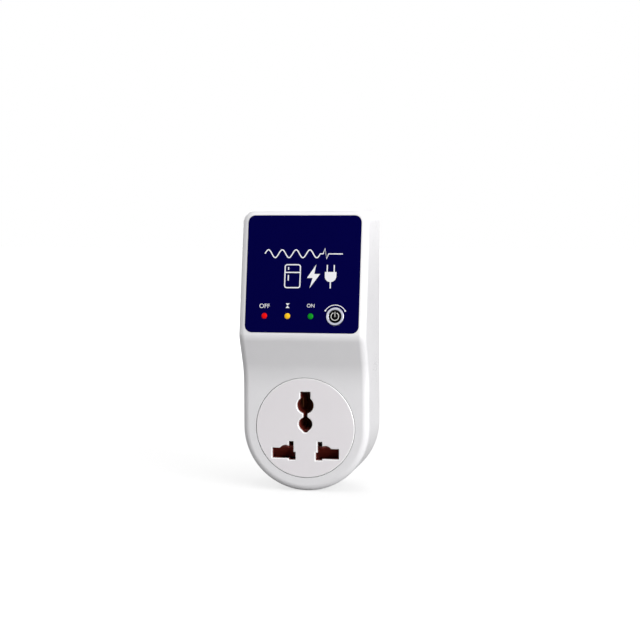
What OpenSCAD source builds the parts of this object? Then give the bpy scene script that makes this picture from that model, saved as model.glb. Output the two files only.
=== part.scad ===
// Plug-in voltage protector: flat pins behind, universal socket and indicator deck in front.
// Modules draw with X across, Y up and Z out from the wall. stand() turns that to Z up, front to -Y.
// Heights are counted from the line through the plug's live and neutral pins.

/* [Housing] */
// Width across the side walls
body_w = 55; // [53:0.5:60]
// Height of the top edge
top_h = 48.2; // [47:0.2:54]
// Drop from the plug's pins to the socket's live and neutral holes
socket_drop = 56; // [55:0.5:60]
// Depth of the lower deck, out from the wall
low_d = 30; // [29.5:0.5:34]
// Depth at the brow, the corner under the label
brow_d = 38.3; // [37.6:0.1:42]
// Height of the brow
brow_h = -5.5; // [-7:0.5:-5]
// Height of the foot of the slope under the brow
foot_h = -22; // [-24:0.5:-20]
// Backward tilt of the label deck
deck_tilt = 10.3; // [8:0.1:11]
// Rounding of the brow
brow_r = 4; // [2:0.5:6]
// Rounding at the foot of the slope
foot_r = 24; // [12:1:28]
// Rounding of the front edges
edge_r = 3; // [2.2:0.1:3.6]
// Rounding of the top corners
corner_r = 5; // [4.6:0.1:6]
// Thickness of the moulded walls
wall = 2; // [1.6:0.1:2.1]
// Depth of the rear housing, out to the parting line
seam_d = 11; // [10.8:0.1:13]

/* [Label and indicators] */
// Width of the label
label_w = 49; // [44:0.5:49.5]
// Height of the label along the deck
label_l = 50.2; // [46:0.2:50.4]
// Distance from the brow up to the label
label_rise = 2.2; // [1.8:0.1:3]
// Rounding of the label's corners
label_r = 3; // [1:0.5:6]
// Thickness of the label
label_t = 0.5; // [0.45:0.05:0.6]
// Depth of the label's recess
recess_t = 0.4; // [0.3:0.05:0.4]
// Distance from the brow up to the row of lamps
row_rise = 9.3; // [9:0.1:10.5]
// Radius of a lamp
lamp_r = 1.5; // [1.2:0.1:1.6]
// Distance between lamps
lamp_pitch = 10; // [8:0.1:10.2]
// Place of the middle lamp across the deck
lamp_x = -6.2; // [-7:0.1:-6]

/* [Button] */
// Place of the button across the deck
button_x = 14.4; // [13:0.1:15]
// Radius of the button
button_r = 3; // [2.6:0.1:3.1]
// Width of the metal ring round it
ring_w = 0.85; // [0.6:0.05:1]
// Travel of the button
button_travel = 0.5; // [0.3:0.05:0.6]

/* [Socket] */
// Radius of the round socket face
insert_r = 21.5; // [21:0.1:21.8]
// Gap round the socket face
insert_gap = 0.2; // [0.15:0.05:0.3]
// Height of the socket face above the lower deck
insert_proud = 0.2; // [0.1:0.05:0.4]
// Depth of the socket face, from its front to the back of its flange
insert_t = 3.5; // [3.3:0.1:3.8]
// Thickness of the face round the apertures
face_t = 1.4; // [1.2:0.1:1.6]
// Width of the flange that holds the face behind the deck
flange_w = 1.7; // [1.4:0.1:1.8]
// Travel of the shutter
shutter_travel = 5.8; // [5.4:0.1:5.9]
// Depth of the shutter's ramps
ramp_d = 6; // [5:0.1:6.2]
// Thickness of the contact metal
contact_t = 0.6; // [0.5:0.05:0.8]

/* [Plug] */
// Distance between the live and neutral pins
pin_pitch = 22.23; // [22.2:0.01:22.3]
// Distance from their line up to the earth pin
earth_rise = 22.23; // [22.2:0.01:22.3]
// Width of a live or neutral pin
pin_w = 6.35; // [6.2:0.01:6.4]
// Thickness of every pin
pin_t = 3.97; // [3.9:0.01:4.05]
// Height of the earth pin
earth_w = 7.92; // [7.8:0.01:8]
// Length of a live or neutral pin behind the wall face
pin_l = 17.7; // [17.2:0.1:18.2]
// Length of the earth pin behind the wall face
earth_l = 22.73; // [22.2:0.1:23.2]
// Length of the sleeve on a live or neutral pin
sleeve_l = 9; // [8:0.1:9.5]
// Thickness of the sleeve
sleeve_t = 0.45; // [0.3:0.05:0.6]

/* [Fuse] */
// Radius of the cartridge fuse
fuse_r = 3.175; // [3.1:0.005:3.2]
// Length of the cartridge fuse
fuse_l = 25.4; // [25:0.1:25.8]
// Height of the fuse
fuse_h = -12.5; // [-13:0.1:-12.4]

/* [Control board] */
// Width of the board
board_w = 44; // [43:0.5:45]
// Height of the board along the deck
board_l = 40; // [39:0.5:41]
// Thickness of the board
board_t = 1.6; // [1.2:0.1:1.7]
// Depth of the board's front under the deck
board_gap = 9; // [8.8:0.1:9.2]

/* [Fasteners and leads] */
// Radius of a case screw
screw_r = 1.45; // [1.2:0.05:1.5]
// Radius of an internal lead
lead_r = 1; // [0.8:0.05:1.1]

/* [Hidden] */
$fn = 48;
overrun = 0.5;
clearance = 0.3;
fit_gap = 0.1;

// Sides of round parts, and steps along the rounded stretches of the housing and the lamps
disc_sides = 96;
tube_sides = 8;
spring_sides = 6;
dome_steps = 6;
arc_steps = 20;
corner_steps = 5;
foot_steps = 7;
brow_steps = 4;
edge_steps = 4;

// Deck profile: slope angle, and where each rounding starts and ends
half_w = body_w / 2;
socket_h = -socket_drop + earth_rise / 2;
slope = atan((brow_d - low_d) / (brow_h - foot_h));
foot_tangent = foot_r * tan(slope / 2);
brow_tangent = brow_r * tan((slope + deck_tilt) / 2);
foot_low_h = foot_h - foot_tangent;
foot_top_h = foot_h + foot_tangent * cos(slope);
brow_low_h = brow_h - brow_tangent * cos(slope);
brow_top_h = brow_h + brow_tangent * cos(deck_tilt);
brow_axis_h = brow_top_h - brow_r * sin(deck_tilt);
brow_axis_d = brow_d - brow_tangent * sin(deck_tilt) - brow_r * cos(deck_tilt);

// Case screws
tower_in = 4;
tower_drop = 3.7;
tower_lift = 5;
tower_x = half_w - wall - tower_in;
tower_top_h = top_h - wall - tower_drop;
tower_low_h = foot_h + tower_lift;
boss_r = 3;
tower_r = 4.2;
sink_r = 2.9;
head_r = 2.7;
head_t = 1.9;
case_head_d = 5;
case_screw_l = 12;
case_hole_top_d = case_head_d + case_screw_l + 2 * head_t;
cross_w = 0.7;
cross_share = 0.62;

// Rear housing
lip_t = 1;
lip_l = 2;
pad_w = 5;

// Deck lamps and button
lamp_proud = 0.6;
lamp_body_l = 5.2;
lamp_flange = 0.4;
lamp_flange_t = 1;
leg_w = 0.5;
leg_gap = 2.54;
cap_proud = 0.7;
cap_flange_w = 0.8;
cap_flange_t = 0.8;
cap_low = -wall - clearance - cap_flange_t;
ring_proud = 0.5;
ring_r = button_r + clearance + ring_w;
switch_w = 6;
switch_t = 3.5;
plunger_r = 1.7;
plunger_proud = 1.5;
plunger_in = 1;
switch_top = -board_gap + switch_t;
plunger_top = switch_top + plunger_proud;
mark_r = 2;
mark_w = 0.45;
mark_t = 0.15;

// Socket, front to back
face_d = low_d + insert_proud;
plate_d = face_d - insert_t;
face_back_d = face_d - face_t;
shutter_front_d = plate_d - clearance;
shutter_back_d = shutter_front_d - ramp_d;
floor_d = shutter_back_d - clearance;
base_back_d = 5;
base_floor_t = 1.5;
base_r = insert_r + flange_w;
base_rim = 1.7;
insert_chamfer = 0.3;
skirt_t = 1.2;
post_r = 2.4;
post_x = (base_r - base_rim - post_r - 2 * fit_gap) * cos(45);
post_rise = earth_rise / 2 + post_x;
post_hole_r = 1.15;
socket_head_r = 2;
socket_seat_t = 6.6;
socket_head_d = floor_d - socket_seat_t;
socket_screw_l = 9;

// Apertures, from the middle of the live and neutral line
pin_play = 0.3;
slot_play = 0.43;
earth_slot_play = 0.41;
slot_in_x = 7;
slot_out_x = pin_pitch / 2 + pin_w / 2 + pin_play;
slot_t = pin_t + slot_play;
round_pitch = 19;
round_r = 2.9;
blade_x = 6.31;
blade_t = 2.08;
blade_low = -2.86;
blade_top = 5.13;
toe_x = 4.4;
toe_low = -2.65;
toe_top = 0.5;
earth_slot_top = earth_rise + earth_w / 2 + earth_slot_play;
earth_round_r = 3.55;
earth_round_h = 20.8;
earth_neck_w = 1.7;
earth_low_r = 2.8;
earth_low_h = 12.7;
earth_tip_h = 9.1;
earth_tip_w = 1.2;
earth_tip_top = 11.2;
earth_tip_wide = 4.4;

// Shutter and its springs
flap_in_x = 4.2;
flap_out_x = 14.9;
flap_low = -3;
flap_top = 2.8;
flap_land = 0.7;
flap_toe_t = 1.2;
bar_t = 2;
arm_x = 18;
arm_low = 0.4;
arm_t = 3.4;
spring_x = 16.6;
spring_r = 1.25;
spring_wire_r = 0.22;
spring_turns = 8;
spring_pack = 7;
spring_top = flap_top + shutter_travel + spring_pack;
spring_peg_r = 0.8;
spring_peg_l = 1.6;
stop_t = 1.8;
stop_w = 3.2;
rail_w = 1.2;
rail_low = 1;
rail_x = arm_x + clearance;
rail_top_d = floor_d + clearance + arm_t;
spring_d = floor_d + clearance + arm_t / 2;

// Contacts and their cells
cell_in_x = 4.9;
cell_out_x = 15.1;
cell_low = -4.4;
cell_top = 5.8;
earth_cell_w = 9.4;
earth_cell_low = 8.6;
earth_cell_top = 28.2;
cell_play = 0.15;
collar_r = 5.8;
collar_wall = 1.1;
collar_seat_t = 0.9;
collar_low = flap_top + shutter_travel + clearance;
collar_top = earth_slot_top + collar_wall;
grip_half = 1.75;
lip_flare = 1;
lip_in = 2.2;
mouth_in = 0.8;
lip_d = floor_d - lip_in;
mouth_d = floor_d - mouth_in;
web_d = base_back_d + base_floor_t;
tag_w = 4;
tag_d = 3.1;

// Plug pins, their flanges and retainer
flange_play = 1.6;
pin_flange_t = 1.5;
shank_w = 4;
shank_t = 3;
shank_d = 9.6;
tip_chamfer = 1.2;
pin_gap = 0.1;
retainer_w = 35;
retainer_low = -5.4;
retainer_top = 28.2;
retainer_t = 3;
retainer_r = 2;
retainer_screw_x = 14.6;
retainer_screw_h = 14;
retainer_boss_r = 2.6;
small_screw_r = 1;
small_head_r = 1.8;
small_head_t = 1.2;
retainer_screw_l = 4.2;
retainer_d = wall + pin_flange_t;

// Fuse carrier, its pocket and clips
fuse_d = 5.6;
cap_l = 6;
fuse_body_play = 0.15;
carrier_t = 1.6;
carrier_over = 0.9;
carrier_w = fuse_l + 2 * carrier_over;
carrier_hh = 3.9;
cradle_w = 11;
cradle_over = 0.9;
cradle_play = 0.05;
pocket_wall = 1.2;
pocket_floor_d = 9.9;
strap_d = pocket_floor_d + pocket_wall;
clip_t = 0.6;
clip_l = 5.4;
clip_leg_d = 4;
pull_w = 8;
pull_t = 0.75;
strap_w = 4;

// Board parts
post_pitch_x = 39;
board_low = 3.5;
board_post_low = 18;
board_post_top = 40;
board_post_r = 2.6;
board_hole_r = 1.1;
board_screw_l = 5.6;
relay_size = [19, 15.5, 15];
relay_at = [-7, 19.7];
film_size = [15, 7, 12.5];
film_at = [-9.8, 36];
can_r = 4;
can_l = 11.5;
can_at = [11.5, 34];
varistor_r = 5;
varistor_t = 4.2;
varistor_at = [9, 14];
varistor_lift = 1.5;
diode_r = 1.3;
diode_l = 5;
diode_pitch = 4;
diode_at = [-10, 30];
resistor_r = 1.2;
resistor_l = 6.3;
resistor_count = 5;
resistor_at = [4, 37];
chip_size = [9.6, 6.4, 3.4];
chip_at = [-4, 20.5];
chip_leg_w = 0.5;

// Routes of the leads, in heights and depths of the pieces that they join
route_x = pin_pitch / 2;
lead_gap = 0.5;
lead_back_d = wall + lead_r + lead_gap;
lead_front_d = 15;
base_top_h = socket_h + base_r;
earth_lead_x = 5;
corner_share = 0.25;

function unit(v) = v / norm(v);
function mirrored(p) = [for (i = [len(p) - 1:-1:0]) [-p[i][0], p[i][1]]];

// Depth of the front surface at a height
function front_d(h) =
    h <= foot_low_h ? low_d
    : h < foot_top_h ? low_d + foot_r - sqrt(pow(foot_r, 2) - pow(h - foot_low_h, 2))
    : h < brow_low_h ? brow_d - (brow_h - h) * tan(slope)
    : h < brow_top_h ? brow_axis_d + sqrt(pow(brow_r, 2) - pow(h - brow_axis_h, 2))
    : brow_d - (h - brow_h) * tan(deck_tilt);

// Right half of the outline, from the lowest point up to the top edge, drawn in by an inset
function side_heights() = concat(
    [for (i = [0:foot_steps]) foot_low_h + (foot_top_h - foot_low_h) * i / foot_steps],
    [for (i = [0:brow_steps]) brow_low_h + (brow_top_h - brow_low_h) * i / brow_steps]);
function half_outline(inset) = concat(
    [for (i = [0:arc_steps]) let (a = 90 * i / arc_steps - 90)
        [(half_w - inset) * cos(a), socket_h + (half_w - inset) * sin(a)]],
    [for (h = side_heights()) [half_w - inset, h]],
    [for (i = [0:corner_steps]) let (a = 90 * i / corner_steps, r = corner_r - inset)
        [half_w - corner_r + r * cos(a), top_h - corner_r + r * sin(a)]]);
function outline(inset) = let (half = half_outline(inset))
    concat(half, [for (i = [len(half) - 1:-1:1]) [-half[i][0], half[i][1]]]);

// Closed solid with the housing's outline and front, drawn in all round by an inset
module body_form(inset, back_d, round_r) {
    half = len(half_outline(0));
    count = 2 * half - 1;
    back_ring = [for (p = outline(inset)) [p[0], p[1], back_d]];
    edge_rings = [for (k = [0:edge_steps]) let (a = 90 * k / edge_steps)
        for (p = outline(inset + round_r * (1 - cos(a))))
            [p[0], p[1], front_d(p[1]) - inset - round_r * (1 - sin(a))]];
    rows = edge_steps + 1;
    sides = [for (k = [0:rows - 1], i = [0:count - 1])
        let (a = k * count + i, b = k * count + (i + 1) % count)
            each [[a, a + count, b + count], [a, b + count, b]]];
    front = [for (i = [0:half - 2])
        let (a = rows * count + i, b = a + 1, c = rows * count + count - i - 1,
            d = i == 0 ? a : c + 1)
            each i == 0 ? [[c, b, a]] : [[c, b, a], [d, c, a]]];
    back = [for (i = [0:half - 2])
        let (a = i, b = a + 1, c = count - i - 1, d = i == 0 ? a : c + 1)
            each i == 0 ? [[a, b, c]] : [[a, b, c], [a, c, d]]];
    polyhedron(concat(back_ring, edge_rings), concat(sides, front, back), convexity = 6);
}

// Frames: whole part, deck surface from the brow up, socket line, and the board's back
module stand() rotate([90, 0, 0]) children();
module on_deck() translate([0, brow_h, brow_d]) rotate([-deck_tilt, 0, 0]) children();
module on_socket() translate([0, -socket_drop, 0]) children();
module on_board() on_deck() translate([0, 0, -board_gap - board_t]) children();
module at_button() on_deck() translate([button_x, row_rise, 0]) children();
module both_sides() {
    children();
    mirror([1, 0, 0]) children();
}

// Profile drawn as [height, depth], run across from one place to another
module across(x0, x1) translate([x0, 0, 0]) rotate([90, 0, 90]) linear_extrude(x1 - x0) children();
// Profile drawn as [across, depth], run up from one height to another
module rise(h0, h1) translate([0, h1, 0]) rotate([90, 0, 0]) linear_extrude(h1 - h0) children();
module block(x, y, z) translate([x[0], y[0], z[0]]) cube([x[1] - x[0], y[1] - y[0], z[1] - z[0]]);
module post(x, y, z, r) translate([x, y, z[0]]) cylinder(r = r, h = z[1] - z[0]);
module bore(x, r, at) translate([x[0], at[0], at[1]]) rotate([0, 90, 0]) cylinder(r = r, h = x[1] - x[0]);
module socket_disc(r, z) translate([0, socket_h, z[0]]) cylinder(r = r, h = z[1] - z[0], $fn = disc_sides);
module round_plate(w, l, r) {
    square([w - 2 * r, l], center = true);
    square([w, l - 2 * r], center = true);
    for (x = [-1, 1], y = [-1, 1])
        translate([x * (w / 2 - r), y * (l / 2 - r)]) circle(r);
}

// Screw with a cross recess, head face at the origin, pointing up Z
module screw(r, l, head, head_l) {
    recess = head_l * cross_share;
    difference() {
        cylinder(r = head, h = head_l);
        for (a = [0, 90])
            rotate([0, 0, a]) translate([0, 0, (recess - overrun) / 2])
                cube([2 * head * cross_share, cross_w, recess + overrun], center = true);
    }
    post(0, 0, [head_l, head_l + l], r);
}

// Skin of a tube from rings of corners, each ring with as many sides
module rings_skin(rings, sides) {
    last = len(rings) / sides - 1;
    skin = [for (i = [0:last - 1], k = [0:sides - 1])
        let (a = i * sides + k, b = i * sides + (k + 1) % sides)
            each [[a, a + sides, b + sides], [a, b + sides, b]]];
    ends = [[for (k = [0:sides - 1]) k], [for (k = [sides - 1:-1:0]) last * sides + k]];
    polyhedron(rings, concat(skin, ends), convexity = 6);
}
function rings_along(p, r, sides, aside) = let (last = len(p) - 1)
    [for (i = [0:last])
        let (t = unit(p[min(i + 1, last)] - p[max(i - 1, 0)]), s = unit(cross(t, aside)), u = cross(t, s))
            for (k = [0:sides - 1]) p[i] + r * (s * cos(360 * k / sides) + u * sin(360 * k / sides))];

// Tube along a route whose corners are cut twice
function cut_corners(p) = concat([p[0]],
    [for (i = [0:len(p) - 2])
        each [p[i] + (p[i + 1] - p[i]) * corner_share, p[i + 1] + (p[i] - p[i + 1]) * corner_share]],
    [p[len(p) - 1]]);
module tube(route, r)
    rings_skin(rings_along(cut_corners(cut_corners(route)), r, tube_sides, [1, 0, 0]), tube_sides);

module front_housing() color("whitesmoke") stand() difference() {
    union() {
        difference() {
            body_form(0, seam_d, edge_r);
            body_form(wall, seam_d - overrun, edge_r / 2);
        }
        both_sides() {
            post(tower_x, tower_top_h, [seam_d, front_d(tower_top_h) - wall / 2], boss_r);
            post(tower_x, tower_low_h, [seam_d, front_d(tower_low_h) - wall], boss_r);
            on_deck() for (v = [board_post_low, board_post_top])
                post(post_pitch_x / 2, v, [-board_gap, -wall / 2], board_post_r);
        }
    }
    socket_disc(insert_r + insert_gap, [low_d - 2 * wall, low_d + 2 * wall]);
    both_sides() {
        for (h = [tower_top_h, tower_low_h])
            post(tower_x, h, [seam_d - overrun, case_hole_top_d], screw_r + fit_gap / 2);
        on_deck() for (v = [board_post_low, board_post_top])
            post(post_pitch_x / 2, v, [-board_gap - overrun, -board_gap + board_screw_l], small_screw_r);
    }
    on_deck() {
        translate([0, label_rise + label_l / 2, -recess_t])
            linear_extrude(wall)
                round_plate(label_w + 2 * fit_gap, label_l + 2 * fit_gap, label_r + fit_gap);
        for (i = [-1:1])
            post(lamp_x + i * lamp_pitch, row_rise, [-2 * wall, wall], lamp_r + fit_gap);
        post(button_x, row_rise, [-2 * wall, wall], button_r + clearance);
    }
}

// Tongue that stands up inside the front housing's wall, cut away round its screw towers
module seam_tongue() difference() {
    translate([0, 0, seam_d - wall]) linear_extrude(wall + lip_l) difference() {
        polygon(outline(wall - overrun));
        polygon(outline(wall + fit_gap + lip_t));
    }
    translate([0, 0, seam_d]) linear_extrude(lip_l + overrun) difference() {
        polygon(outline(-overrun));
        polygon(outline(wall + fit_gap));
    }
    both_sides() for (h = [tower_top_h, tower_low_h])
        post(tower_x, h, [seam_d, seam_d + lip_l + overrun], boss_r + clearance);
}

// Pads that carry the socket base, clear of its screws
module base_pads() {
    both_sides() block([base_r - 2 * pad_w, base_r - pad_w], [socket_h - pad_w, socket_h + pad_w],
        [wall / 2, base_back_d]);
    block([-pad_w / 2, pad_w / 2], [socket_h - base_r + pad_w / 2, socket_h - base_r + 3 * pad_w / 2],
        [wall / 2, base_back_d]);
}

// Box through the pocket's or carrier's middle, grown all round by a gap
module pocket_box(gap, z)
    block([-carrier_w / 2 - gap, carrier_w / 2 + gap],
        [fuse_h - carrier_hh - gap, fuse_h + carrier_hh + gap], z);

module pin_hole(x, h, w, t)
    block([x - w / 2 - pin_gap, x + w / 2 + pin_gap], [h - t / 2 - pin_gap, h + t / 2 + pin_gap],
        [-overrun, wall + overrun]);

module rear_housing() color("whitesmoke") stand() difference() {
    union() {
        difference() {
            linear_extrude(seam_d) polygon(outline(0));
            translate([0, 0, wall]) linear_extrude(seam_d) polygon(outline(wall));
        }
        seam_tongue();
        base_pads();
        both_sides() {
            for (h = [tower_top_h, tower_low_h])
                post(tower_x, h, [0, seam_d], tower_r);
            post(retainer_screw_x, retainer_screw_h, [wall / 2, retainer_d], retainer_boss_r);
        }
        pocket_box(clearance + pocket_wall, [0, strap_d]);
    }
    both_sides() {
        for (h = [tower_top_h, tower_low_h]) {
            post(tower_x, h, [-overrun, case_head_d + head_t], sink_r);
            post(tower_x, h, [0, seam_d + overrun], screw_r + fit_gap);
        }
        pin_hole(route_x, 0, pin_w, pin_t);
        post(retainer_screw_x, retainer_screw_h, [wall / 2, retainer_d + overrun],
            small_screw_r + fit_gap / 2);
        block([route_x - strap_w / 2 - fit_gap, route_x + strap_w / 2 + fit_gap],
            [fuse_h - clip_t / 2 - fit_gap, fuse_h + clip_t / 2 + fit_gap],
            [pocket_floor_d - pocket_wall / 2, strap_d + pocket_wall / 2]);
    }
    pin_hole(0, earth_rise, pin_t, earth_w);
    pocket_box(clearance, [-overrun, pocket_floor_d]);
}

module label_panel() color("midnightblue") stand() on_deck() difference() {
    translate([0, label_rise + label_l / 2, -recess_t])
        linear_extrude(label_t) round_plate(label_w, label_l, label_r);
    for (i = [-1:1])
        post(lamp_x + i * lamp_pitch, row_rise, [-wall, wall], lamp_r + fit_gap);
    post(button_x, row_rise, [-wall, wall], ring_r + fit_gap);
}

module button_ring() color("silver") stand() at_button() difference() {
    post(0, 0, [-recess_t, ring_proud], ring_r);
    post(0, 0, [-recess_t - overrun, ring_proud + overrun], button_r + clearance);
}

module bypass_button() color("black") stand() at_button() difference() {
    union() {
        post(0, 0, [cap_low, cap_proud], button_r);
        post(0, 0, [cap_low, cap_low + cap_flange_t], button_r + cap_flange_w);
        post(0, 0, [plunger_top, cap_low], plunger_r);
    }
    translate([0, 0, cap_proud - mark_t]) linear_extrude(wall) power_mark();
}

// Open ring with a bar through its gap
module power_mark() {
    difference() {
        circle(mark_r);
        circle(mark_r - mark_w);
        translate([-3 * mark_w / 2, 0]) square([3 * mark_w, 2 * mark_r]);
    }
    translate([-mark_w / 2, mark_w / 2]) square([mark_w, mark_r]);
}

module tact_switch() color("dimgray") stand() at_button() difference() {
    block([-switch_w / 2, switch_w / 2], [-switch_w / 2, switch_w / 2], [-board_gap, switch_top]);
    post(0, 0, [switch_top - plunger_in - button_travel - clearance, wall], plunger_r + fit_gap);
}

module switch_plunger() color("black") stand() at_button()
    post(0, 0, [switch_top - plunger_in, plunger_top], plunger_r);

// Apertures of the socket face, from the middle of the live and neutral line
module apertures() {
    earth_aperture();
    both_sides() {
        translate([slot_in_x, -slot_t / 2]) square([slot_out_x - slot_in_x, slot_t]);
        translate([round_pitch / 2, 0]) circle(round_r);
        translate([blade_x - blade_t / 2, blade_low]) square([blade_t, blade_top - blade_low]);
        translate([toe_x, toe_low]) square([blade_x - toe_x, toe_top - toe_low]);
    }
}
module earth_aperture() {
    translate([-slot_t / 2, earth_round_h]) square([slot_t, earth_slot_top - earth_round_h]);
    translate([0, earth_round_h]) circle(earth_round_r);
    translate([-earth_neck_w / 2, earth_low_h]) square([earth_neck_w, earth_round_h - earth_low_h]);
    translate([0, earth_low_h]) circle(earth_low_r);
    polygon([[-earth_tip_wide / 2, earth_tip_top], [-earth_tip_w / 2, earth_tip_h],
        [earth_tip_w / 2, earth_tip_h], [earth_tip_wide / 2, earth_tip_top]]);
}

module socket_insert() color("whitesmoke") stand() difference() {
    union() {
        difference() {
            union() {
                socket_disc(insert_r, [plate_d, face_d - insert_chamfer]);
                translate([0, socket_h, face_d - insert_chamfer])
                    cylinder(r1 = insert_r, r2 = insert_r - insert_chamfer, h = insert_chamfer,
                        $fn = disc_sides);
                socket_disc(base_r, [plate_d, low_d - wall]);
            }
            socket_disc(insert_r - skirt_t, [plate_d - overrun, face_back_d]);
        }
        on_socket() both_sides() post(post_x, post_rise, [floor_d, face_d - face_t / 2], post_r);
    }
    on_socket() {
        translate([0, 0, face_back_d - overrun]) linear_extrude(face_t + 2 * overrun) apertures();
        both_sides() post(post_x, post_rise, [floor_d - overrun, plate_d], post_hole_r);
    }
}

// Plate that backs the thin face, with its apertures and holes for its posts
module aperture_plate() color("maroon") stand() difference() {
    socket_disc(insert_r - skirt_t - fit_gap, [plate_d, face_back_d - fit_gap]);
    on_socket() {
        translate([0, 0, plate_d - overrun]) linear_extrude(insert_t) apertures();
        both_sides() post(post_x, post_rise, [plate_d - overrun, face_d], post_r + fit_gap);
    }
}

// Flaps with ramps that a plug's pins push up, joined by a bar, on arms that run in the base
module shutter() color("maroon") stand() on_socket() {
    both_sides() {
        across(flap_in_x, flap_out_x)
            polygon([[flap_low, shutter_back_d], [flap_top, shutter_back_d],
                [flap_top, shutter_front_d], [flap_top - flap_land, shutter_front_d],
                [flap_low, shutter_back_d + flap_toe_t]]);
        block([flap_out_x, arm_x], [arm_low, flap_top], [shutter_back_d, shutter_back_d + arm_t]);
        spring_peg(flap_top, flap_top + spring_peg_l);
    }
    block([-flap_in_x, flap_in_x], [flap_low, flap_top], [shutter_back_d, shutter_back_d + bar_t]);
}
module spring_peg(low, top)
    translate([spring_x, low, spring_d]) rotate([-90, 0, 0]) cylinder(r = spring_peg_r, h = top - low);

// Two coil springs between the shutter's arms and the stops on the base
module shutter_springs() color("silver") stand() on_socket() both_sides() {
    low = flap_top + spring_wire_r;
    high = spring_top - spring_wire_r;
    steps = spring_turns * 8;
    route = [for (i = [0:steps]) let (a = 45 * i)
        [spring_x + spring_r * cos(a), low + (high - low) * i / steps, spring_d + spring_r * sin(a)]];
    rings_skin(rings_along(route, spring_wire_r, spring_sides, [0, 1, 0]), spring_sides);
}

// Rails beside the shutter's arms, and the stops and pegs that the springs push against
module base_rails() on_socket() both_sides() {
    block([rail_x, rail_x + rail_w], [rail_low, spring_top], [floor_d - overrun, rail_top_d]);
    block([spring_x - stop_w / 2, rail_x + rail_w], [spring_top, spring_top + stop_t],
        [floor_d - overrun, rail_top_d]);
    spring_peg(spring_top - spring_peg_l, spring_top + stop_t / 2);
}

// Cells for the contacts and slots for their tags
module base_cells() on_socket() {
    tag_half = tag_w / 2 + fit_gap;
    tag_half_t = contact_t / 2 + fit_gap;
    both_sides() {
        block([cell_in_x, cell_out_x], [cell_low, cell_top], [web_d, floor_d + overrun]);
        block([route_x - tag_half, route_x + tag_half], [-tag_half_t, tag_half_t],
            [base_back_d - overrun, web_d + overrun]);
    }
    block([-earth_cell_w / 2, earth_cell_w / 2], [earth_cell_low, earth_cell_top],
        [web_d, floor_d + overrun]);
    block([-tag_half, tag_half], [earth_rise - tag_half_t, earth_rise + tag_half_t],
        [base_back_d - overrun, web_d + overrun]);
}

module socket_base() color("maroon") stand() difference() {
    union() {
        socket_disc(base_r, [base_back_d, floor_d]);
        difference() {
            socket_disc(base_r, [floor_d - overrun, plate_d]);
            socket_disc(base_r - base_rim, [floor_d - overrun, plate_d + overrun]);
        }
        intersection() {
            socket_disc(base_r - base_rim / 2, [base_back_d, plate_d - clearance]);
            base_rails();
        }
    }
    base_cells();
    on_socket() both_sides() {
        post(post_x, post_rise, [base_back_d - overrun, socket_head_d + small_head_t],
            socket_head_r + fit_gap);
        post(post_x, post_rise, [base_back_d, floor_d + overrun], small_screw_r + fit_gap);
    }
}

// Collar that leads the earth pin to its contact, on a flange over the edges of its cell
module earth_collar() color("maroon") stand() on_socket() difference() {
    union() {
        block([-collar_r, collar_r], [collar_low, collar_top], [floor_d, floor_d + collar_seat_t]);
        hull()
            for (h = [collar_low + collar_r, collar_top - collar_r])
                post(0, h, [floor_d, shutter_front_d], collar_r);
    }
    translate([0, 0, floor_d - overrun]) linear_extrude(plate_d - floor_d + overrun) intersection() {
        earth_aperture();
        translate([-collar_r, collar_low + collar_wall]) square([2 * collar_r, collar_top]);
    }
}

// Sprung clip of bent strip, drawn as [across the pin, depth]
module clip_profile() {
    outer = grip_half + contact_t;
    leg = [[outer, web_d], [outer, lip_d], [outer + lip_flare, mouth_d],
        [grip_half + lip_flare, mouth_d], [grip_half, lip_d], [grip_half, web_d + contact_t]];
    polygon(concat(leg, mirrored(leg)));
}
module pole_contact(side) stand() on_socket() mirror([side < 0 ? 1 : 0, 0, 0]) {
    across(cell_in_x + cell_play, cell_out_x - cell_play) clip_profile();
    block([route_x - tag_w / 2, route_x + tag_w / 2], [-contact_t / 2, contact_t / 2],
        [tag_d, web_d + contact_t / 2]);
}
module live_contact() color("goldenrod") pole_contact(1);
module neutral_contact() color("goldenrod") pole_contact(-1);
module earth_contact() color("goldenrod") stand() on_socket() {
    rise(earth_cell_low + cell_play, earth_cell_top - cell_play) clip_profile();
    block([-tag_w / 2, tag_w / 2], [earth_rise - contact_t / 2, earth_rise + contact_t / 2],
        [tag_d, web_d + contact_t / 2]);
}

module socket_screws() color("silver") stand() on_socket() both_sides()
    translate([post_x, post_rise, socket_head_d])
        screw(small_screw_r, socket_screw_l, socket_head_r, small_head_t);

// One side of a pin with a chamfered tip, drawn as [across, depth]
module pin_side(w, l) {
    half = [[w / 2, wall], [w / 2, -l + tip_chamfer], [w / 2 - tip_chamfer, -l]];
    polygon(concat(half, mirrored(half)));
}
// Ring round a pin's neck where the sleeve sits, grown by a gap
module sleeve_ring(w, t, gap) difference() {
    block([-w / 2 - gap, w / 2 + gap], [-t / 2 - gap, t / 2 + gap], [-sleeve_l, 0]);
    block([-w / 2 + sleeve_t, w / 2 - sleeve_t], [-t / 2 + sleeve_t, t / 2 - sleeve_t],
        [-sleeve_l - overrun, overrun]);
}

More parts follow.
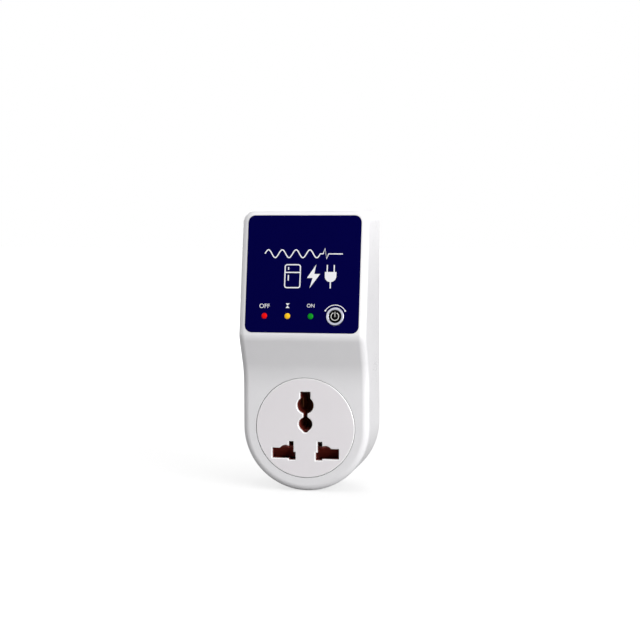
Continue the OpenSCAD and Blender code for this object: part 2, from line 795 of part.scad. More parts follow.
// Flat pin, its flange inside the wall and a shank to its terminal
module flat_pin(w, t, l, sleeved, top_d) {
    difference() {
        intersection() {
            rotate([90, 0, 0]) translate([0, 0, -t / 2]) linear_extrude(t) pin_side(w, l);
            rotate([90, 0, 90]) translate([0, 0, -w / 2]) linear_extrude(w) pin_side(t, l);
        }
        if (sleeved)
            sleeve_ring(w, t, overrun);
    }
    block([-w / 2 - flange_play, w / 2 + flange_play], [-t / 2 - flange_play, t / 2 + flange_play],
        [wall, retainer_d]);
    block([-shank_w / 2, shank_w / 2], [-shank_t / 2, shank_t / 2], [wall, top_d]);
}
module live_pin() color("gold") stand() translate([route_x, 0, 0])
    flat_pin(pin_w, pin_t, pin_l, true, strap_d);
module neutral_pin() color("gold") stand() translate([-route_x, 0, 0])
    flat_pin(pin_w, pin_t, pin_l, true, shank_d);
module earth_pin() color("gold") stand() translate([0, earth_rise, 0]) rotate([0, 0, 90])
    flat_pin(earth_w, pin_t, earth_l, false, shank_d);

module pin_sleeve(side) stand() translate([side * route_x, 0, 0]) sleeve_ring(pin_w, pin_t, 0);
module live_pin_sleeve() color("dimgray") pin_sleeve(1);
module neutral_pin_sleeve() color("dimgray") pin_sleeve(-1);

module pin_retainer() color("gainsboro") stand() difference() {
    translate([0, (retainer_low + retainer_top) / 2, retainer_d])
        linear_extrude(retainer_t) round_plate(retainer_w, retainer_top - retainer_low, retainer_r);
    both_sides() {
        shank_hole(route_x, 0, shank_w, shank_t);
        post(retainer_screw_x, retainer_screw_h, [0, retainer_d + 2 * retainer_t], small_screw_r + fit_gap);
    }
    shank_hole(0, earth_rise, shank_t, shank_w);
}

module shank_hole(x, h, w, t)
    block([x - w / 2 - fit_gap, x + w / 2 + fit_gap], [h - t / 2 - fit_gap, h + t / 2 + fit_gap],
        [wall, retainer_d + retainer_t + overrun]);

module retainer_screws() color("silver") stand() both_sides()
    translate([retainer_screw_x, retainer_screw_h, retainer_d + retainer_t + small_head_t])
        rotate([180, 0, 0]) screw(small_screw_r, retainer_screw_l, small_head_r, small_head_t);

module fuse() color("tan") stand() {
    barrel_x = fuse_l / 2 - cap_l;
    both_sides() bore([barrel_x, fuse_l / 2], fuse_r, [fuse_h, fuse_d]);
    bore([-barrel_x, barrel_x], fuse_r - fuse_body_play, [fuse_h, fuse_d]);
}

module fuse_carrier() color("whitesmoke") stand() difference() {
    union() {
        pocket_box(0, [0, carrier_t]);
        block([-cradle_w / 2, cradle_w / 2], [fuse_h - carrier_hh, fuse_h + carrier_hh],
            [0, fuse_d + cradle_over]);
    }
    bore([-carrier_w, carrier_w], fuse_r - fuse_body_play + cradle_play, [fuse_h, fuse_d]);
    block([-pull_w / 2, pull_w / 2], [fuse_h + carrier_hh - pull_t, fuse_h + carrier_hh + overrun],
        [-overrun, carrier_t / 2]);
}

// Clip round a fuse cap: sprung legs on a web that stands on the pocket's floor, and a tag through it
module fuse_clip(side, tag_h) stand() mirror([side < 0 ? 1 : 0, 0, 0]) {
    half = fuse_r + clearance;
    leg = [[half + clip_t, pocket_floor_d], [half + clip_t, clip_leg_d], [half, clip_leg_d],
        [half, pocket_floor_d - clip_t]];
    strap_x = [route_x - strap_w / 2, route_x + strap_w / 2];
    translate([0, fuse_h, 0]) {
        across(fuse_l / 2 - clip_l, fuse_l / 2) polygon(concat(leg, mirrored(leg)));
        block(strap_x, [-clip_t / 2, clip_t / 2], [pocket_floor_d - clip_t / 2, strap_d + clip_t]);
    }
    block(strap_x, [fuse_h - clip_t / 2, tag_h], [strap_d, strap_d + clip_t]);
}
module supply_fuse_clip() color("goldenrod") fuse_clip(1, shank_t / 2);
module load_fuse_clip() color("goldenrod") fuse_clip(-1, fuse_h + strap_w);

module control_board() color("darkgreen") stand() on_board() difference() {
    block([-board_w / 2, board_w / 2], [board_low, board_low + board_l], [0, board_t]);
    both_sides() for (v = [board_post_low, board_post_top])
        post(post_pitch_x / 2, v, [-overrun, board_t + overrun], board_hole_r);
    for (i = [-1:1], s = [-1, 1])
        post(lamp_x + i * lamp_pitch + s * leg_gap / 2, row_rise, [-overrun, board_t + overrun], leg_w);
}

// Box that stands on the board's back, from its middle and size
module on_back(at, size) on_board() block([at[0] - size[0] / 2, at[0] + size[0] / 2],
    [at[1] - size[1] / 2, at[1] + size[1] / 2], [-size[2], 0]);
module relay() color("steelblue") stand() on_back(relay_at, relay_size);
module film_capacitor() color("gold") stand() on_back(film_at, film_size);
module electrolytic_capacitor() color("darkslategray") stand() on_board()
    post(can_at[0], can_at[1], [-can_l, 0], can_r);
module varistor() color("royalblue") stand() on_board() translate([varistor_at[0], varistor_at[1], 0]) {
    bore([-varistor_t / 2, varistor_t / 2], varistor_r, [0, -varistor_r - varistor_lift]);
    for (s = [-1, 1])
        post(0, s * varistor_r / 2, [-varistor_lift - varistor_r / 2, 0], leg_w / 2);
}

// Axial part lying on the board's front, with its wire ends bent down to it
module axial(x, y, r, l) on_board() translate([x, y, board_t]) {
    translate([0, l / 2, r + fit_gap]) rotate([90, 0, 0]) cylinder(r = r, h = l);
    block([-leg_w / 2, leg_w / 2], [l / 2, l / 2 + leg_w], [0, r + fit_gap + leg_w / 2]);
    block([-leg_w / 2, leg_w / 2], [-l / 2 - leg_w, -l / 2], [0, r + fit_gap + leg_w / 2]);
}
module rectifier_diodes() color("black") stand()
    for (i = [0:3]) axial(diode_at[0] + i * diode_pitch, diode_at[1], diode_r, diode_l);
module resistors() color("burlywood") stand()
    for (i = [0:resistor_count - 1])
        axial(resistor_at[0] - i * diode_pitch, resistor_at[1], resistor_r, resistor_l);
module comparator_chip() color("black") stand() on_board() translate([chip_at[0], chip_at[1], board_t]) {
    half = chip_size / 2;
    block([-half[0], half[0]], [-half[1], half[1]], [chip_leg_w, chip_leg_w + chip_size[2]]);
    for (i = [-1.5:1.5])
        both_rows() block([i * leg_gap - chip_leg_w / 2, i * leg_gap + chip_leg_w / 2],
            [half[1], half[1] + chip_leg_w], [0, half[2] + chip_leg_w]);
}
module both_rows() {
    children();
    mirror([0, 1, 0]) children();
}

// Lamp: low dome, body and flange turned about its own axis, on two legs through the board
module lamp(i) stand() on_deck() translate([lamp_x + i * lamp_pitch, row_rise, 0]) {
    low = lamp_proud - lamp_body_l;
    rotate_extrude() polygon(concat(
        [[0, low], [lamp_r + lamp_flange, low], [lamp_r + lamp_flange, low + lamp_flange_t],
            [lamp_r, low + lamp_flange_t]],
        [for (k = [0:dome_steps]) let (a = 90 * k / dome_steps) [lamp_r * cos(a), lamp_proud * sin(a)]]));
    for (s = [-1, 1])
        translate([s * leg_gap / 2, 0, 0]) block([-leg_w / 2, leg_w / 2], [-leg_w / 2, leg_w / 2],
            [-board_gap - board_t - leg_w, low + overrun]);
}
module red_lamp() color("red") lamp(-1);
module yellow_lamp() color("orange") lamp(0);
module green_lamp() color("green") lamp(1);

module board_screws() color("silver") stand() on_board() both_sides()
    for (v = [board_post_low, board_post_top])
        translate([post_pitch_x / 2, v, -small_head_t])
            screw(small_screw_r - fit_gap / 2, board_screw_l, small_head_r, small_head_t);
module case_screws() color("silver") stand() both_sides()
    for (h = [tower_top_h, tower_low_h])
        translate([tower_x, h, case_head_d]) screw(screw_r, case_screw_l, head_r, head_t);

// Point where a lead ends on the board's back, from its place across
function board_end(x) = let (v = board_low + 2 * lead_r, w = -board_gap - board_t - lead_r)
    [x, brow_h + v * cos(deck_tilt) + w * sin(deck_tilt), brow_d - v * sin(deck_tilt) + w * cos(deck_tilt)];
module live_supply_lead() color("saddlebrown") stand() tube([
    [-route_x, fuse_h + strap_w / 2, strap_d + clip_t],
    [-route_x, fuse_h + strap_w / 2, lead_front_d],
    [-route_x, fuse_h + 2 * strap_w, lead_front_d + 2 * lead_r],
    board_end(-route_x)], lead_r);
module neutral_supply_lead() color("royalblue") stand() tube([
    [-route_x, 0, shank_d],
    [-route_x, 0, shank_d + 3 * lead_r],
    [-route_x, -lead_r, lead_front_d],
    board_end(-route_x - 3 * lead_r)], lead_r);

// Route from a contact's tag, behind the socket base and over its top edge
function base_route(x, tag_h) = [
    [x, tag_h + contact_t / 2, lead_back_d],
    [x, base_top_h - pad_w, lead_back_d],
    [x, base_top_h, lead_back_d],
    [x, base_top_h + 2 * lead_r, lead_back_d],
    [x, base_top_h + 2 * lead_r, lead_back_d + 2 * lead_r],
    [x, base_top_h + 2 * lead_r, lead_front_d - 2 * lead_r]];
module load_lead(x, end_x) stand() tube(concat(base_route(x, -socket_drop), [
    [x, base_top_h + 4 * lead_r, lead_front_d + 2 * lead_r],
    board_end(end_x)]), lead_r);
module live_load_lead() color("saddlebrown") load_lead(route_x, route_x);
module neutral_load_lead() color("royalblue") load_lead(-route_x, -2 * lead_r);
module earth_lead() color("yellowgreen") stand() tube(concat(base_route(0, earth_rise - socket_drop), [
    [0, base_top_h + 4 * lead_r, lead_front_d],
    [earth_lead_x, fuse_h, lead_front_d],
    [earth_lead_x, 0, lead_front_d - lead_r],
    [earth_lead_x, earth_rise / 2, lead_front_d - 2 * lead_r],
    [earth_lead_x, earth_rise - 2 * lead_r, lead_front_d - 2 * lead_r],
    [0, earth_rise, lead_front_d - 2 * lead_r],
    [0, earth_rise, shank_d]]), lead_r);

front_housing();
rear_housing();
label_panel();
button_ring();
bypass_button();
socket_insert();
aperture_plate();
shutter();
shutter_springs();
socket_base();
earth_collar();
live_contact();
neutral_contact();
earth_contact();
socket_screws();
live_pin();
neutral_pin();
earth_pin();
live_pin_sleeve();
neutral_pin_sleeve();
pin_retainer();
retainer_screws();
fuse();
fuse_carrier();
supply_fuse_clip();
load_fuse_clip();
control_board();
relay();
film_capacitor();
electrolytic_capacitor();
varistor();
rectifier_diodes();
resistors();
comparator_chip();
red_lamp();
yellow_lamp();
green_lamp();
tact_switch();
switch_plunger();
board_screws();
case_screws();
live_supply_lead();
neutral_supply_lead();
live_load_lead();
neutral_load_lead();
earth_lead();
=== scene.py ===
import math

import bmesh
import bpy
from mathutils import Matrix, Vector


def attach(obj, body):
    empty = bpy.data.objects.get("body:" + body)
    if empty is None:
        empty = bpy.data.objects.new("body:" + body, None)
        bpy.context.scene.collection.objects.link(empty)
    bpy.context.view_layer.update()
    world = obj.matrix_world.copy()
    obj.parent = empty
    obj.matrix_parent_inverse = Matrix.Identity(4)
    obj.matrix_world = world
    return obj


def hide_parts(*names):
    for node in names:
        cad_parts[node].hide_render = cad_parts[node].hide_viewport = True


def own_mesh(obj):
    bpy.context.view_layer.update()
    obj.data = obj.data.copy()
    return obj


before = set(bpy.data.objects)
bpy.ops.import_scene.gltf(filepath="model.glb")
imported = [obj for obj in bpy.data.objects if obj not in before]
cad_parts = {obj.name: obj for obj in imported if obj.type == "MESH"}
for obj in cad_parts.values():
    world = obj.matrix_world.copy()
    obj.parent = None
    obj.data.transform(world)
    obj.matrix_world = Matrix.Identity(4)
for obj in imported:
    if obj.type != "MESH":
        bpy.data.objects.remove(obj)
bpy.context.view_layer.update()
mm = 0.001
print("frame loaded:", len(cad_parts), "nodes")

# Places are drawn with X across, Y up and Z out of the wall, then stood up by frontFrame
frontFrame = Matrix(((1, 0, 0, 0), (0, 0, -1, 0), (0, 1, 0, 0), (0, 0, 0, 1)))


view = {
    "yaw": 11.22, "pitch": 4.46, "roll": -0.17,     # degrees
    "across": 0.64 * mm, "up": -0.78 * mm,          # point that sits at the picture's middle
    "distance": 712 * mm,
    "focal": 1600, "frame": 640,                    # pixels
    "sensor": 36,                                   # millimetres, as Blender counts it
    "clip": (0.01, 20),                             # metres
}


def addCamera():
    yaw, pitch, roll = (math.radians(view[key]) for key in ("yaw", "pitch", "roll"))
    ahead = Vector((-math.sin(yaw) * math.cos(pitch), math.cos(yaw) * math.cos(pitch), -math.sin(pitch)))
    right = Vector((math.cos(yaw), math.sin(yaw), 0))
    upward = right.cross(ahead)
    across = math.cos(roll) * right + math.sin(roll) * upward
    above = -math.sin(roll) * right + math.cos(roll) * upward
    eye = Vector((view["across"], 0, view["up"])) - ahead * view["distance"]
    data = bpy.data.cameras.new("viewCamera")
    data.lens = view["focal"] * view["sensor"] / view["frame"]
    data.sensor_width = view["sensor"]
    data.clip_start, data.clip_end = view["clip"]
    camera = bpy.data.objects.new("viewCamera", data)
    turn = Matrix((across, above, -ahead)).transposed().to_4x4()
    camera.matrix_world = Matrix.Translation(eye) @ turn
    bpy.context.scene.collection.objects.link(camera)
    bpy.context.scene.camera = camera


class Wire:
    # one output socket of a material's nodes, used like a number
    def __init__(self, finish, socket):
        self.finish = finish
        self.socket = socket

    def maths(self, operation, other):
        return self.finish.node("ShaderNodeMath", {"operation": operation}, [self, other])

    def __add__(self, other):
        return self.maths("ADD", other)

    def __sub__(self, other):
        return self.maths("SUBTRACT", other)

    def __mul__(self, other):
        return self.maths("MULTIPLY", other)

    def __gt__(self, other):
        return self.maths("GREATER_THAN", other)


class Finish:
    def __init__(self, name, colour, rough, **sockets):
        self.material = bpy.data.materials.new(name)
        self.material.use_nodes = True
        self.tree = self.material.node_tree
        self.shader = self.tree.nodes["Principled BSDF"]
        self.give("Base Color", colour)
        self.give("Roughness", rough)
        for key, value in sockets.items():
            self.give(key, value)

    def give(self, name, value):
        socket = self.shader.inputs[name]
        if isinstance(value, Wire):
            self.tree.links.new(value.socket, socket)
        else:
            socket.default_value = value

    def node(self, kind, settings, inputs, out=0):
        made = self.tree.nodes.new(kind)
        for key, value in settings.items():
            setattr(made, key, value)
        for key, value in inputs.items() if isinstance(inputs, dict) else enumerate(inputs):
            if isinstance(value, Wire):
                self.tree.links.new(value.socket, made.inputs[key])
            else:
                made.inputs[key].default_value = value
        return Wire(self, made.outputs[out])

    def place(self, scale=(1, 1, 1)):
        spot = self.node("ShaderNodeTexCoord", {}, {}, "Object")
        if scale == (1, 1, 1):
            return spot
        return self.node("ShaderNodeMapping", {}, {"Vector": spot, "Scale": scale})

    def noise(self, scale, detail=2, stretch=(1, 1, 1)):
        return self.node("ShaderNodeTexNoise", {},
                         {"Vector": self.place(stretch), "Scale": scale, "Detail": detail})

    def tint(self, amount, first, second):
        return self.node("ShaderNodeMix", {"data_type": "RGBA"}, {0: amount, 6: first, 7: second}, 2)

    def bump(self, height, depth):
        self.give("Normal", self.node("ShaderNodeBump", {}, {"Distance": depth, "Height": height}))


def rgb(red, green, blue):
    # a colour as it looks in a picture, 0 to 255
    return tuple(((part / 255 + 0.055) / 1.055) ** 2.4 if part > 10 else part / 255 / 12.92
                 for part in (red, green, blue)) + (1,)


def darker(colour, share):
    return tuple(part * share for part in colour[:3]) + (1,)


plastic = {"cloudScale": 70, "cloudDepth": 0.95, "cloudRough": 0.08, "grainScale": 2600,
           "grainRough": 0.12, "grain": 0.012 * mm, "middle": 0.1, "detail": 3}


def mouldedFace(finish, colour, rough, grainScale=plastic["grainScale"]):
    # cloudy tint, the grain of a spark-eroded tool, and the roughness that comes of both
    cloud = finish.noise(plastic["cloudScale"], plastic["detail"])
    spark = finish.noise(grainScale, plastic["detail"])
    tinted = finish.tint(cloud, darker(colour, plastic["cloudDepth"]), colour)
    worn = spark * plastic["grainRough"] + cloud * plastic["cloudRough"] + (rough - plastic["middle"])
    return tinted, spark, worn


def mouldedPlastic(name, colour, rough, grain=plastic["grain"], grainScale=plastic["grainScale"],
                   **sockets):
    finish = Finish(name, colour, rough, **sockets)
    tinted, spark, worn = mouldedFace(finish, colour, rough, grainScale)
    finish.give("Base Color", tinted)
    finish.give("Roughness", worn)
    finish.bump(spark, grain)
    return finish.material


# painted highlight on the aperture lips: near-white colour, less roughness and a coat
lipHighlight = {"below": 0.006 * mm, "colour": rgb(252, 252, 252), "smoother": 0.12}


def insertPlastic(name, colour, rough, face):
    # moulded plastic whose lips, below the face, carry a painted highlight: tinted near-white, made
    # smoother and coated
    finish = Finish(name, colour, rough)
    tinted, spark, worn = mouldedFace(finish, colour, rough)
    depth = finish.node("ShaderNodeSeparateXYZ", {}, {"Vector": finish.place()}, "Y")
    lips = depth > lipHighlight["below"] - face
    # painted highlight: the lips are tinted near-white
    finish.give("Base Color", finish.tint(lips, tinted, lipHighlight["colour"]))
    finish.give("Roughness", worn - lips * lipHighlight["smoother"])
    finish.give("Coat Weight", lips)
    finish.bump(spark, plastic["grain"] / 2)
    return finish.material


metal = {"lineScale": 1400, "lineRough": 0.14, "lineDepth": 0.0015 * mm, "stainScale": 90,
         "stainDark": 0.84, "stainRough": 0.1, "middle": 0.12}


def drawnMetal(name, colour, rough, stretch=(1, 1, 1)):
    finish = Finish(name, colour, rough, Metallic=1.0)
    lines = finish.noise(metal["lineScale"], 2, stretch)
    stain = finish.noise(metal["stainScale"], 3)
    finish.give("Base Color", finish.tint(stain, darker(colour, metal["stainDark"]), colour))
    finish.give("Roughness", lines * metal["lineRough"] + stain * metal["stainRough"]
                + (rough - metal["middle"]))
    finish.bump(lines, metal["lineDepth"])
    return finish.material


lampGlow = {"rough": 0.16, "cloudScale": 900, "cloudDark": 0.7, "cloudRough": 0.1, "least": 0.1,
            "shine": 0.04, "glow": 0.25}


def lampLens(name, colour):
    finish = Finish(name, colour, lampGlow["rough"])
    cloud = finish.noise(lampGlow["cloudScale"])
    speckled = finish.tint(cloud, darker(colour, lampGlow["cloudDark"]), colour)
    finish.give("Base Color", speckled)
    finish.give("Roughness", cloud * lampGlow["cloudRough"] + lampGlow["least"])
    finish.give("Emission Color", speckled)
    finish.give("Emission Strength", lampGlow["glow"])
    finish.give("Specular IOR Level", lampGlow["shine"])
    return finish.material


boardFace = {"mask": rgb(24, 96, 52), "cell": rgb(28, 108, 58), "track": rgb(52, 138, 78),
             "rough": 0.35, "cells": 160, "trackWidth": 0.018, "fibreScale": 300, "fibreRough": 0.2,
             "least": 0.25, "weaveScale": 500, "weave": 0.01 * mm}


def circuitBoard(name):
    finish = Finish(name, boardFace["mask"], boardFace["rough"])
    cells = finish.node("ShaderNodeTexBrick", {"offset": 0.5, "squash": 1.0}, {
        "Vector": finish.place(), "Scale": boardFace["cells"], "Mortar Size": boardFace["trackWidth"],
        "Bias": 0.0, "Color1": boardFace["mask"], "Color2": boardFace["cell"],
        "Mortar": boardFace["track"]})
    finish.give("Base Color", cells)
    finish.give("Roughness", finish.noise(boardFace["fibreScale"]) * boardFace["fibreRough"]
                + boardFace["least"])
    finish.bump(finish.noise(boardFace["weaveScale"]), boardFace["weave"])
    return finish.material


whiteShell = mouldedPlastic("whiteShell", rgb(233, 232, 234), 0.3, 0.005 * mm)
whiteInsert = insertPlastic("whiteInsert", rgb(236, 232, 235), 0.34, 30.2 * mm)     # face's depth
matt = {"Specular IOR Level": 0.012}
blueOverlay = mouldedPlastic("blueOverlay", rgb(2, 1, 64), 0.45, 0.006 * mm, 3600, **matt)
blackCap = mouldedPlastic("blackCap", rgb(11, 11, 13), 0.4, **matt)
maroonPlastic = mouldedPlastic("maroonPlastic", rgb(118, 42, 32), 0.42)
greySleeve = mouldedPlastic("greySleeve", rgb(40, 40, 42), 0.45)
darkPart = mouldedPlastic("darkPart", rgb(28, 28, 30), 0.45)
relayCase = mouldedPlastic("relayCase", rgb(38, 98, 176), 0.3)
filmBox = mouldedPlastic("filmBox", rgb(222, 176, 44), 0.34)
varistorCoat = mouldedPlastic("varistorCoat", rgb(36, 92, 158), 0.5)
resistorBody = mouldedPlastic("resistorBody", rgb(204, 178, 132), 0.5)
ceramicBarrel = mouldedPlastic("ceramicBarrel", rgb(226, 220, 202), 0.5)
leadBrown = mouldedPlastic("leadBrown", rgb(110, 66, 38), 0.42)
leadBlue = mouldedPlastic("leadBlue", rgb(30, 84, 168), 0.42)
leadGreen = mouldedPlastic("leadGreen", rgb(120, 172, 44), 0.42)
pinBrass = drawnMetal("pinBrass", rgb(222, 190, 112), 0.26, (1, 0.08, 1))
contactBrass = drawnMetal("contactBrass", rgb(138, 84, 54), 0.42)
zincSteel = drawnMetal("zincSteel", rgb(186, 188, 194), 0.3)
satinRing = drawnMetal("satinRing", rgb(206, 208, 222), 0.36)
boardGreen = circuitBoard("boardGreen")
redLens = lampLens("redLens", rgb(222, 14, 16))
amberLens = lampLens("amberLens", rgb(246, 190, 40))
greenLens = lampLens("greenLens", rgb(14, 140, 34))
whiteInk = mouldedPlastic("whiteInk", rgb(236, 236, 240), 0.5, 0.004 * mm)
greyInk = mouldedPlastic("greyInk", rgb(226, 226, 222), 0.5, 0.004 * mm)
print("finishes made:", len(bpy.data.materials))

nodeFinishes = (
    (whiteShell, "front_housing rear_housing pin_retainer fuse_carrier"),
    (blueOverlay, "label_panel"), (satinRing, "button_ring"), (whiteInsert, "socket_insert"),
    (blackCap, "bypass_button switch_plunger"),
    (maroonPlastic, "aperture_plate shutter socket_base earth_collar"),
    (zincSteel, "shutter_springs socket_screws retainer_screws board_screws case_screws"),
    (contactBrass, "live_contact neutral_contact earth_contact supply_fuse_clip load_fuse_clip"),
    (pinBrass, "live_pin neutral_pin earth_pin"), (greySleeve, "live_pin_sleeve neutral_pin_sleeve"),
    (ceramicBarrel, "fuse"), (boardGreen, "control_board"), (relayCase, "relay"),
    (filmBox, "film_capacitor"), (varistorCoat, "varistor"), (resistorBody, "resistors"),
    (darkPart, "electrolytic_capacitor rectifier_diodes comparator_chip tact_switch"),
    (redLens, "red_lamp"), (amberLens, "yellow_lamp"), (greenLens, "green_lamp"),
    (leadBrown, "live_supply_lead live_load_lead"), (leadBlue, "neutral_supply_lead neutral_load_lead"),
    (leadGreen, "earth_lead"),
)
for material, names in nodeFinishes:
    for name in names.split():
        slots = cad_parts[name].data.materials
        slots.clear()
        slots.append(material)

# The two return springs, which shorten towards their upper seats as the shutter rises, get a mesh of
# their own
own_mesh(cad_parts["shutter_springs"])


ground = {"size": 6.0, "at": -72.4 * mm, "grey": 0.28, "near": 0.15, "far": 0.7,
          "nearGlow": 0.68, "farGlow": 0.97}
world = {"soft": 0.3, "white": 1.0}
lights = {
    "frontLight": {"at": (0.9, -0.8, 0.3), "size": 0.6, "watts": 10.8},
    "rightLight": {"at": (1.1, -0.45, 0.4), "size": 0.7, "watts": 4.2},
    "sideLight": {"at": (1.15, -0.16, 0.2), "size": 0.7, "watts": 2.0},
    "leftLight": {"at": (-1.15, -0.1, 0.15), "size": 0.7, "watts": 2.4},
    "topLight": {"at": (0.1, -0.14, 1.1), "size": 0.6, "watts": 3.8},
    "backLight": {"at": (-0.5, 1.0, 0.35), "size": 0.7, "watts": 4.8},
}


def addStage():
    # the camera sees a pale ground, and the object gets only what a grey one throws back
    finish = Finish("paleGround", (ground["grey"], ground["grey"], ground["grey"], 1), 0.9)
    seen = finish.node("ShaderNodeLightPath", {}, {}, "Is Camera Ray")
    away = finish.node("ShaderNodeVectorMath", {"operation": "LENGTH"}, [finish.place()], "Value")
    far = finish.node("ShaderNodeMapRange", {"interpolation_type": "SMOOTHSTEP"}, {
        "Value": away, "From Min": ground["near"], "From Max": ground["far"],
        "To Min": ground["nearGlow"], "To Max": ground["farGlow"]})
    finish.give("Emission Color", (1, 1, 1, 1))
    finish.give("Emission Strength", seen * far)
    bpy.ops.mesh.primitive_plane_add(size=ground["size"], location=(0, 0, ground["at"]))
    floor = bpy.context.object
    floor.name = "studioFloor"
    floor.data.materials.append(finish.material)


def addLights():
    studio = bpy.data.worlds.new("studio")
    bpy.context.scene.world = studio
    studio.use_nodes = True
    tree = studio.node_tree
    tree.nodes.clear()
    path = tree.nodes.new("ShaderNodeLightPath")
    seen = path.outputs["Is Camera Ray"]
    for kind in ("Is Glossy Ray", "Is Transmission Ray"):
        either = tree.nodes.new("ShaderNodeMath")
        either.operation = "MAXIMUM"
        tree.links.new(seen, either.inputs[0])
        tree.links.new(path.outputs[kind], either.inputs[1])
        seen = either.outputs[0]
    mix = tree.nodes.new("ShaderNodeMixShader")
    tree.links.new(seen, mix.inputs[0])
    for place, strength in ((1, world["soft"]), (2, world["white"])):
        shine = tree.nodes.new("ShaderNodeBackground")
        shine.inputs["Color"].default_value = (1, 1, 1, 1)
        shine.inputs["Strength"].default_value = strength
        tree.links.new(shine.outputs[0], mix.inputs[place])
    out = tree.nodes.new("ShaderNodeOutputWorld")
    tree.links.new(mix.outputs[0], out.inputs["Surface"])
    for name, facts in lights.items():
        data = bpy.data.lights.new(name, "AREA")
        data.energy = facts["watts"]
        data.size = facts["size"]
        light = bpy.data.objects.new(name, data)
        light.location = facts["at"]
        light.rotation_euler = (-Vector(facts["at"])).to_track_quat("-Z", "Y").to_euler()
        bpy.context.scene.collection.objects.link(light)


near = 0.01 * mm                                    # places closer than this count as one
shading = {"smooth": 35, "rim": 40, "weight": 80}   # two angles in degrees, then a share in percent


def choose(*items):
    # these alone are selected, and the first is active
    bpy.ops.object.select_all(action="DESELECT")
    for item in items:
        item.select_set(True)
    bpy.context.view_layer.objects.active = items[0]


def edit():
    bpy.ops.object.mode_set(mode="EDIT")
    bpy.ops.mesh.select_mode(type="VERT")


def done():
    bpy.ops.object.mode_set(mode="OBJECT")
    return bpy.context.object


def pick(kind, test):
    # in edit mode, selects only the vertices, edges or faces that pass the test
    bpy.ops.mesh.select_mode(type={"verts": "VERT", "edges": "EDGE", "faces": "FACE"}[kind])
    bpy.ops.mesh.select_all(action="DESELECT")
    mesh = bmesh.from_edit_mesh(bpy.context.object.data)
    found = [item for item in getattr(mesh, kind) if test(item)]
    for item in found:
        item.select_set(True)
    mesh.select_flush_mode()
    bmesh.update_edit_mesh(bpy.context.object.data)
    return len(found)


def level(height):
    # test for parts whose corners all lie at one height
    return lambda item: all(abs(corner.co.z - height) < near for corner in item.verts)


def raiseBy(distance):
    bpy.ops.mesh.extrude_region_move(TRANSFORM_OT_translate={"value": (0, 0, distance)})


def roundEdges(width, steps, **settings):
    bpy.ops.mesh.bevel(offset=width, segments=steps, affect="EDGES", clamp_overlap=True, **settings)


def disc(radius, low, high, at=(0, 0), sides=64):
    # a round billet, made from a filled circle
    bpy.ops.mesh.primitive_circle_add(vertices=sides, radius=radius, fill_type="NGON",
                                      location=(at[0], at[1], 0))
    bpy.ops.object.transform_apply()
    edit()
    bpy.ops.mesh.select_all(action="SELECT")
    bpy.ops.transform.translate(value=(0, 0, low))
    raiseBy(high - low)
    bpy.ops.mesh.select_all(action="SELECT")
    bpy.ops.mesh.normals_make_consistent(inside=False)
    return done()


def slab(low, high, corner=0, steps=8):
    # a block between two corners, its upright edges rounded
    centre = [(a + b) / 2 for a, b in zip(low, high)]
    bpy.ops.mesh.primitive_cube_add(size=1, location=centre)
    bpy.context.object.scale = [b - a for a, b in zip(low, high)]
    bpy.ops.object.transform_apply()
    edit()
    if corner:
        pick("edges", lambda edge: abs(edge.verts[0].co.z - edge.verts[1].co.z) > near)
        roundEdges(corner, steps)
    return done()


def useTool(target, kind, **settings):
    choose(target)
    modifier = target.modifiers.new(kind, kind)
    for key, value in settings.items():
        setattr(modifier, key, value)
    bpy.ops.object.modifier_apply(modifier=modifier.name)
    return target


def cut(target, cutter, operation="DIFFERENCE", overlapping=False):
    useTool(target, "BOOLEAN", object=cutter, operation=operation, solver="EXACT", use_self=overlapping)
    bpy.data.objects.remove(cutter)
    return target


def joined(*objects):
    choose(*objects)
    bpy.ops.object.join()
    return bpy.context.object


def moved(target, matrix):
    target.matrix_world = matrix @ target.matrix_world
    choose(target)
    bpy.ops.object.transform_apply()
    return target


def softenRims(target, width, steps):
    # a fine round on every sharp edge
    return useTool(target, "BEVEL", width=width, segments=steps, limit_method="ANGLE",
                   angle_limit=math.radians(shading["rim"]), use_clamp_overlap=True)


def hand(target, name, material, body, slot, *nodes, smooth=shading["smooth"]):
    # shading, finish and place in the frame of a finished piece
    target.name = name
    target.data.name = name
    target.data.materials.clear()
    target.data.materials.append(material)
    choose(target)
    bpy.ops.object.shade_smooth_by_angle(angle=math.radians(smooth))
    useTool(target, "WEIGHTED_NORMAL", keep_sharp=True, weight=shading["weight"])
    moved(target, frontFrame)
    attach(target, body)
    if nodes:
        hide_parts(*nodes)
    print("piece made:", name, len(target.data.polygons), "faces")
    return target


shell = {
    "width": 55 * mm, "top": 48.2 * mm, "socketHeight": -44.885 * mm,
    "lowDepth": 30 * mm, "browDepth": 38.3 * mm, "browHeight": -5.5 * mm, "footHeight": -22 * mm,
    "deckTilt": math.radians(10.3), "browRound": 5.8 * mm, "footRound": 24 * mm, "footEase": 3 * mm,
    "edgeRound": 3 * mm, "cornerRound": 5 * mm, "wall": 2 * mm, "seam": 11 * mm,
    "backRound": 0.5 * mm, "seamRound": 0.18 * mm,
}
half = shell["width"] / 2
slope = math.atan((shell["browDepth"] - shell["lowDepth"]) / (shell["browHeight"] - shell["footHeight"]))
footReach = shell["footRound"] * math.tan(slope / 2)
browReach = shell["browRound"] * math.tan((slope + shell["deckTilt"]) / 2)
footLow = shell["footHeight"] - footReach - shell["footEase"]
footTop = shell["footHeight"] + footReach * math.cos(slope)
browLow = shell["browHeight"] - browReach * math.cos(slope)
browTop = shell["browHeight"] + browReach * math.cos(shell["deckTilt"])
browAxis = (browTop - shell["browRound"] * math.sin(shell["deckTilt"]),
            shell["browDepth"] - browReach * math.sin(shell["deckTilt"])
            - shell["browRound"] * math.cos(shell["deckTilt"]))
deckFrame = (Matrix.Translation((0, shell["browHeight"], shell["browDepth"]))
             @ Matrix.Rotation(-shell["deckTilt"], 4, "X"))
socketFrame = Matrix.Translation((0, shell["socketHeight"], 0))


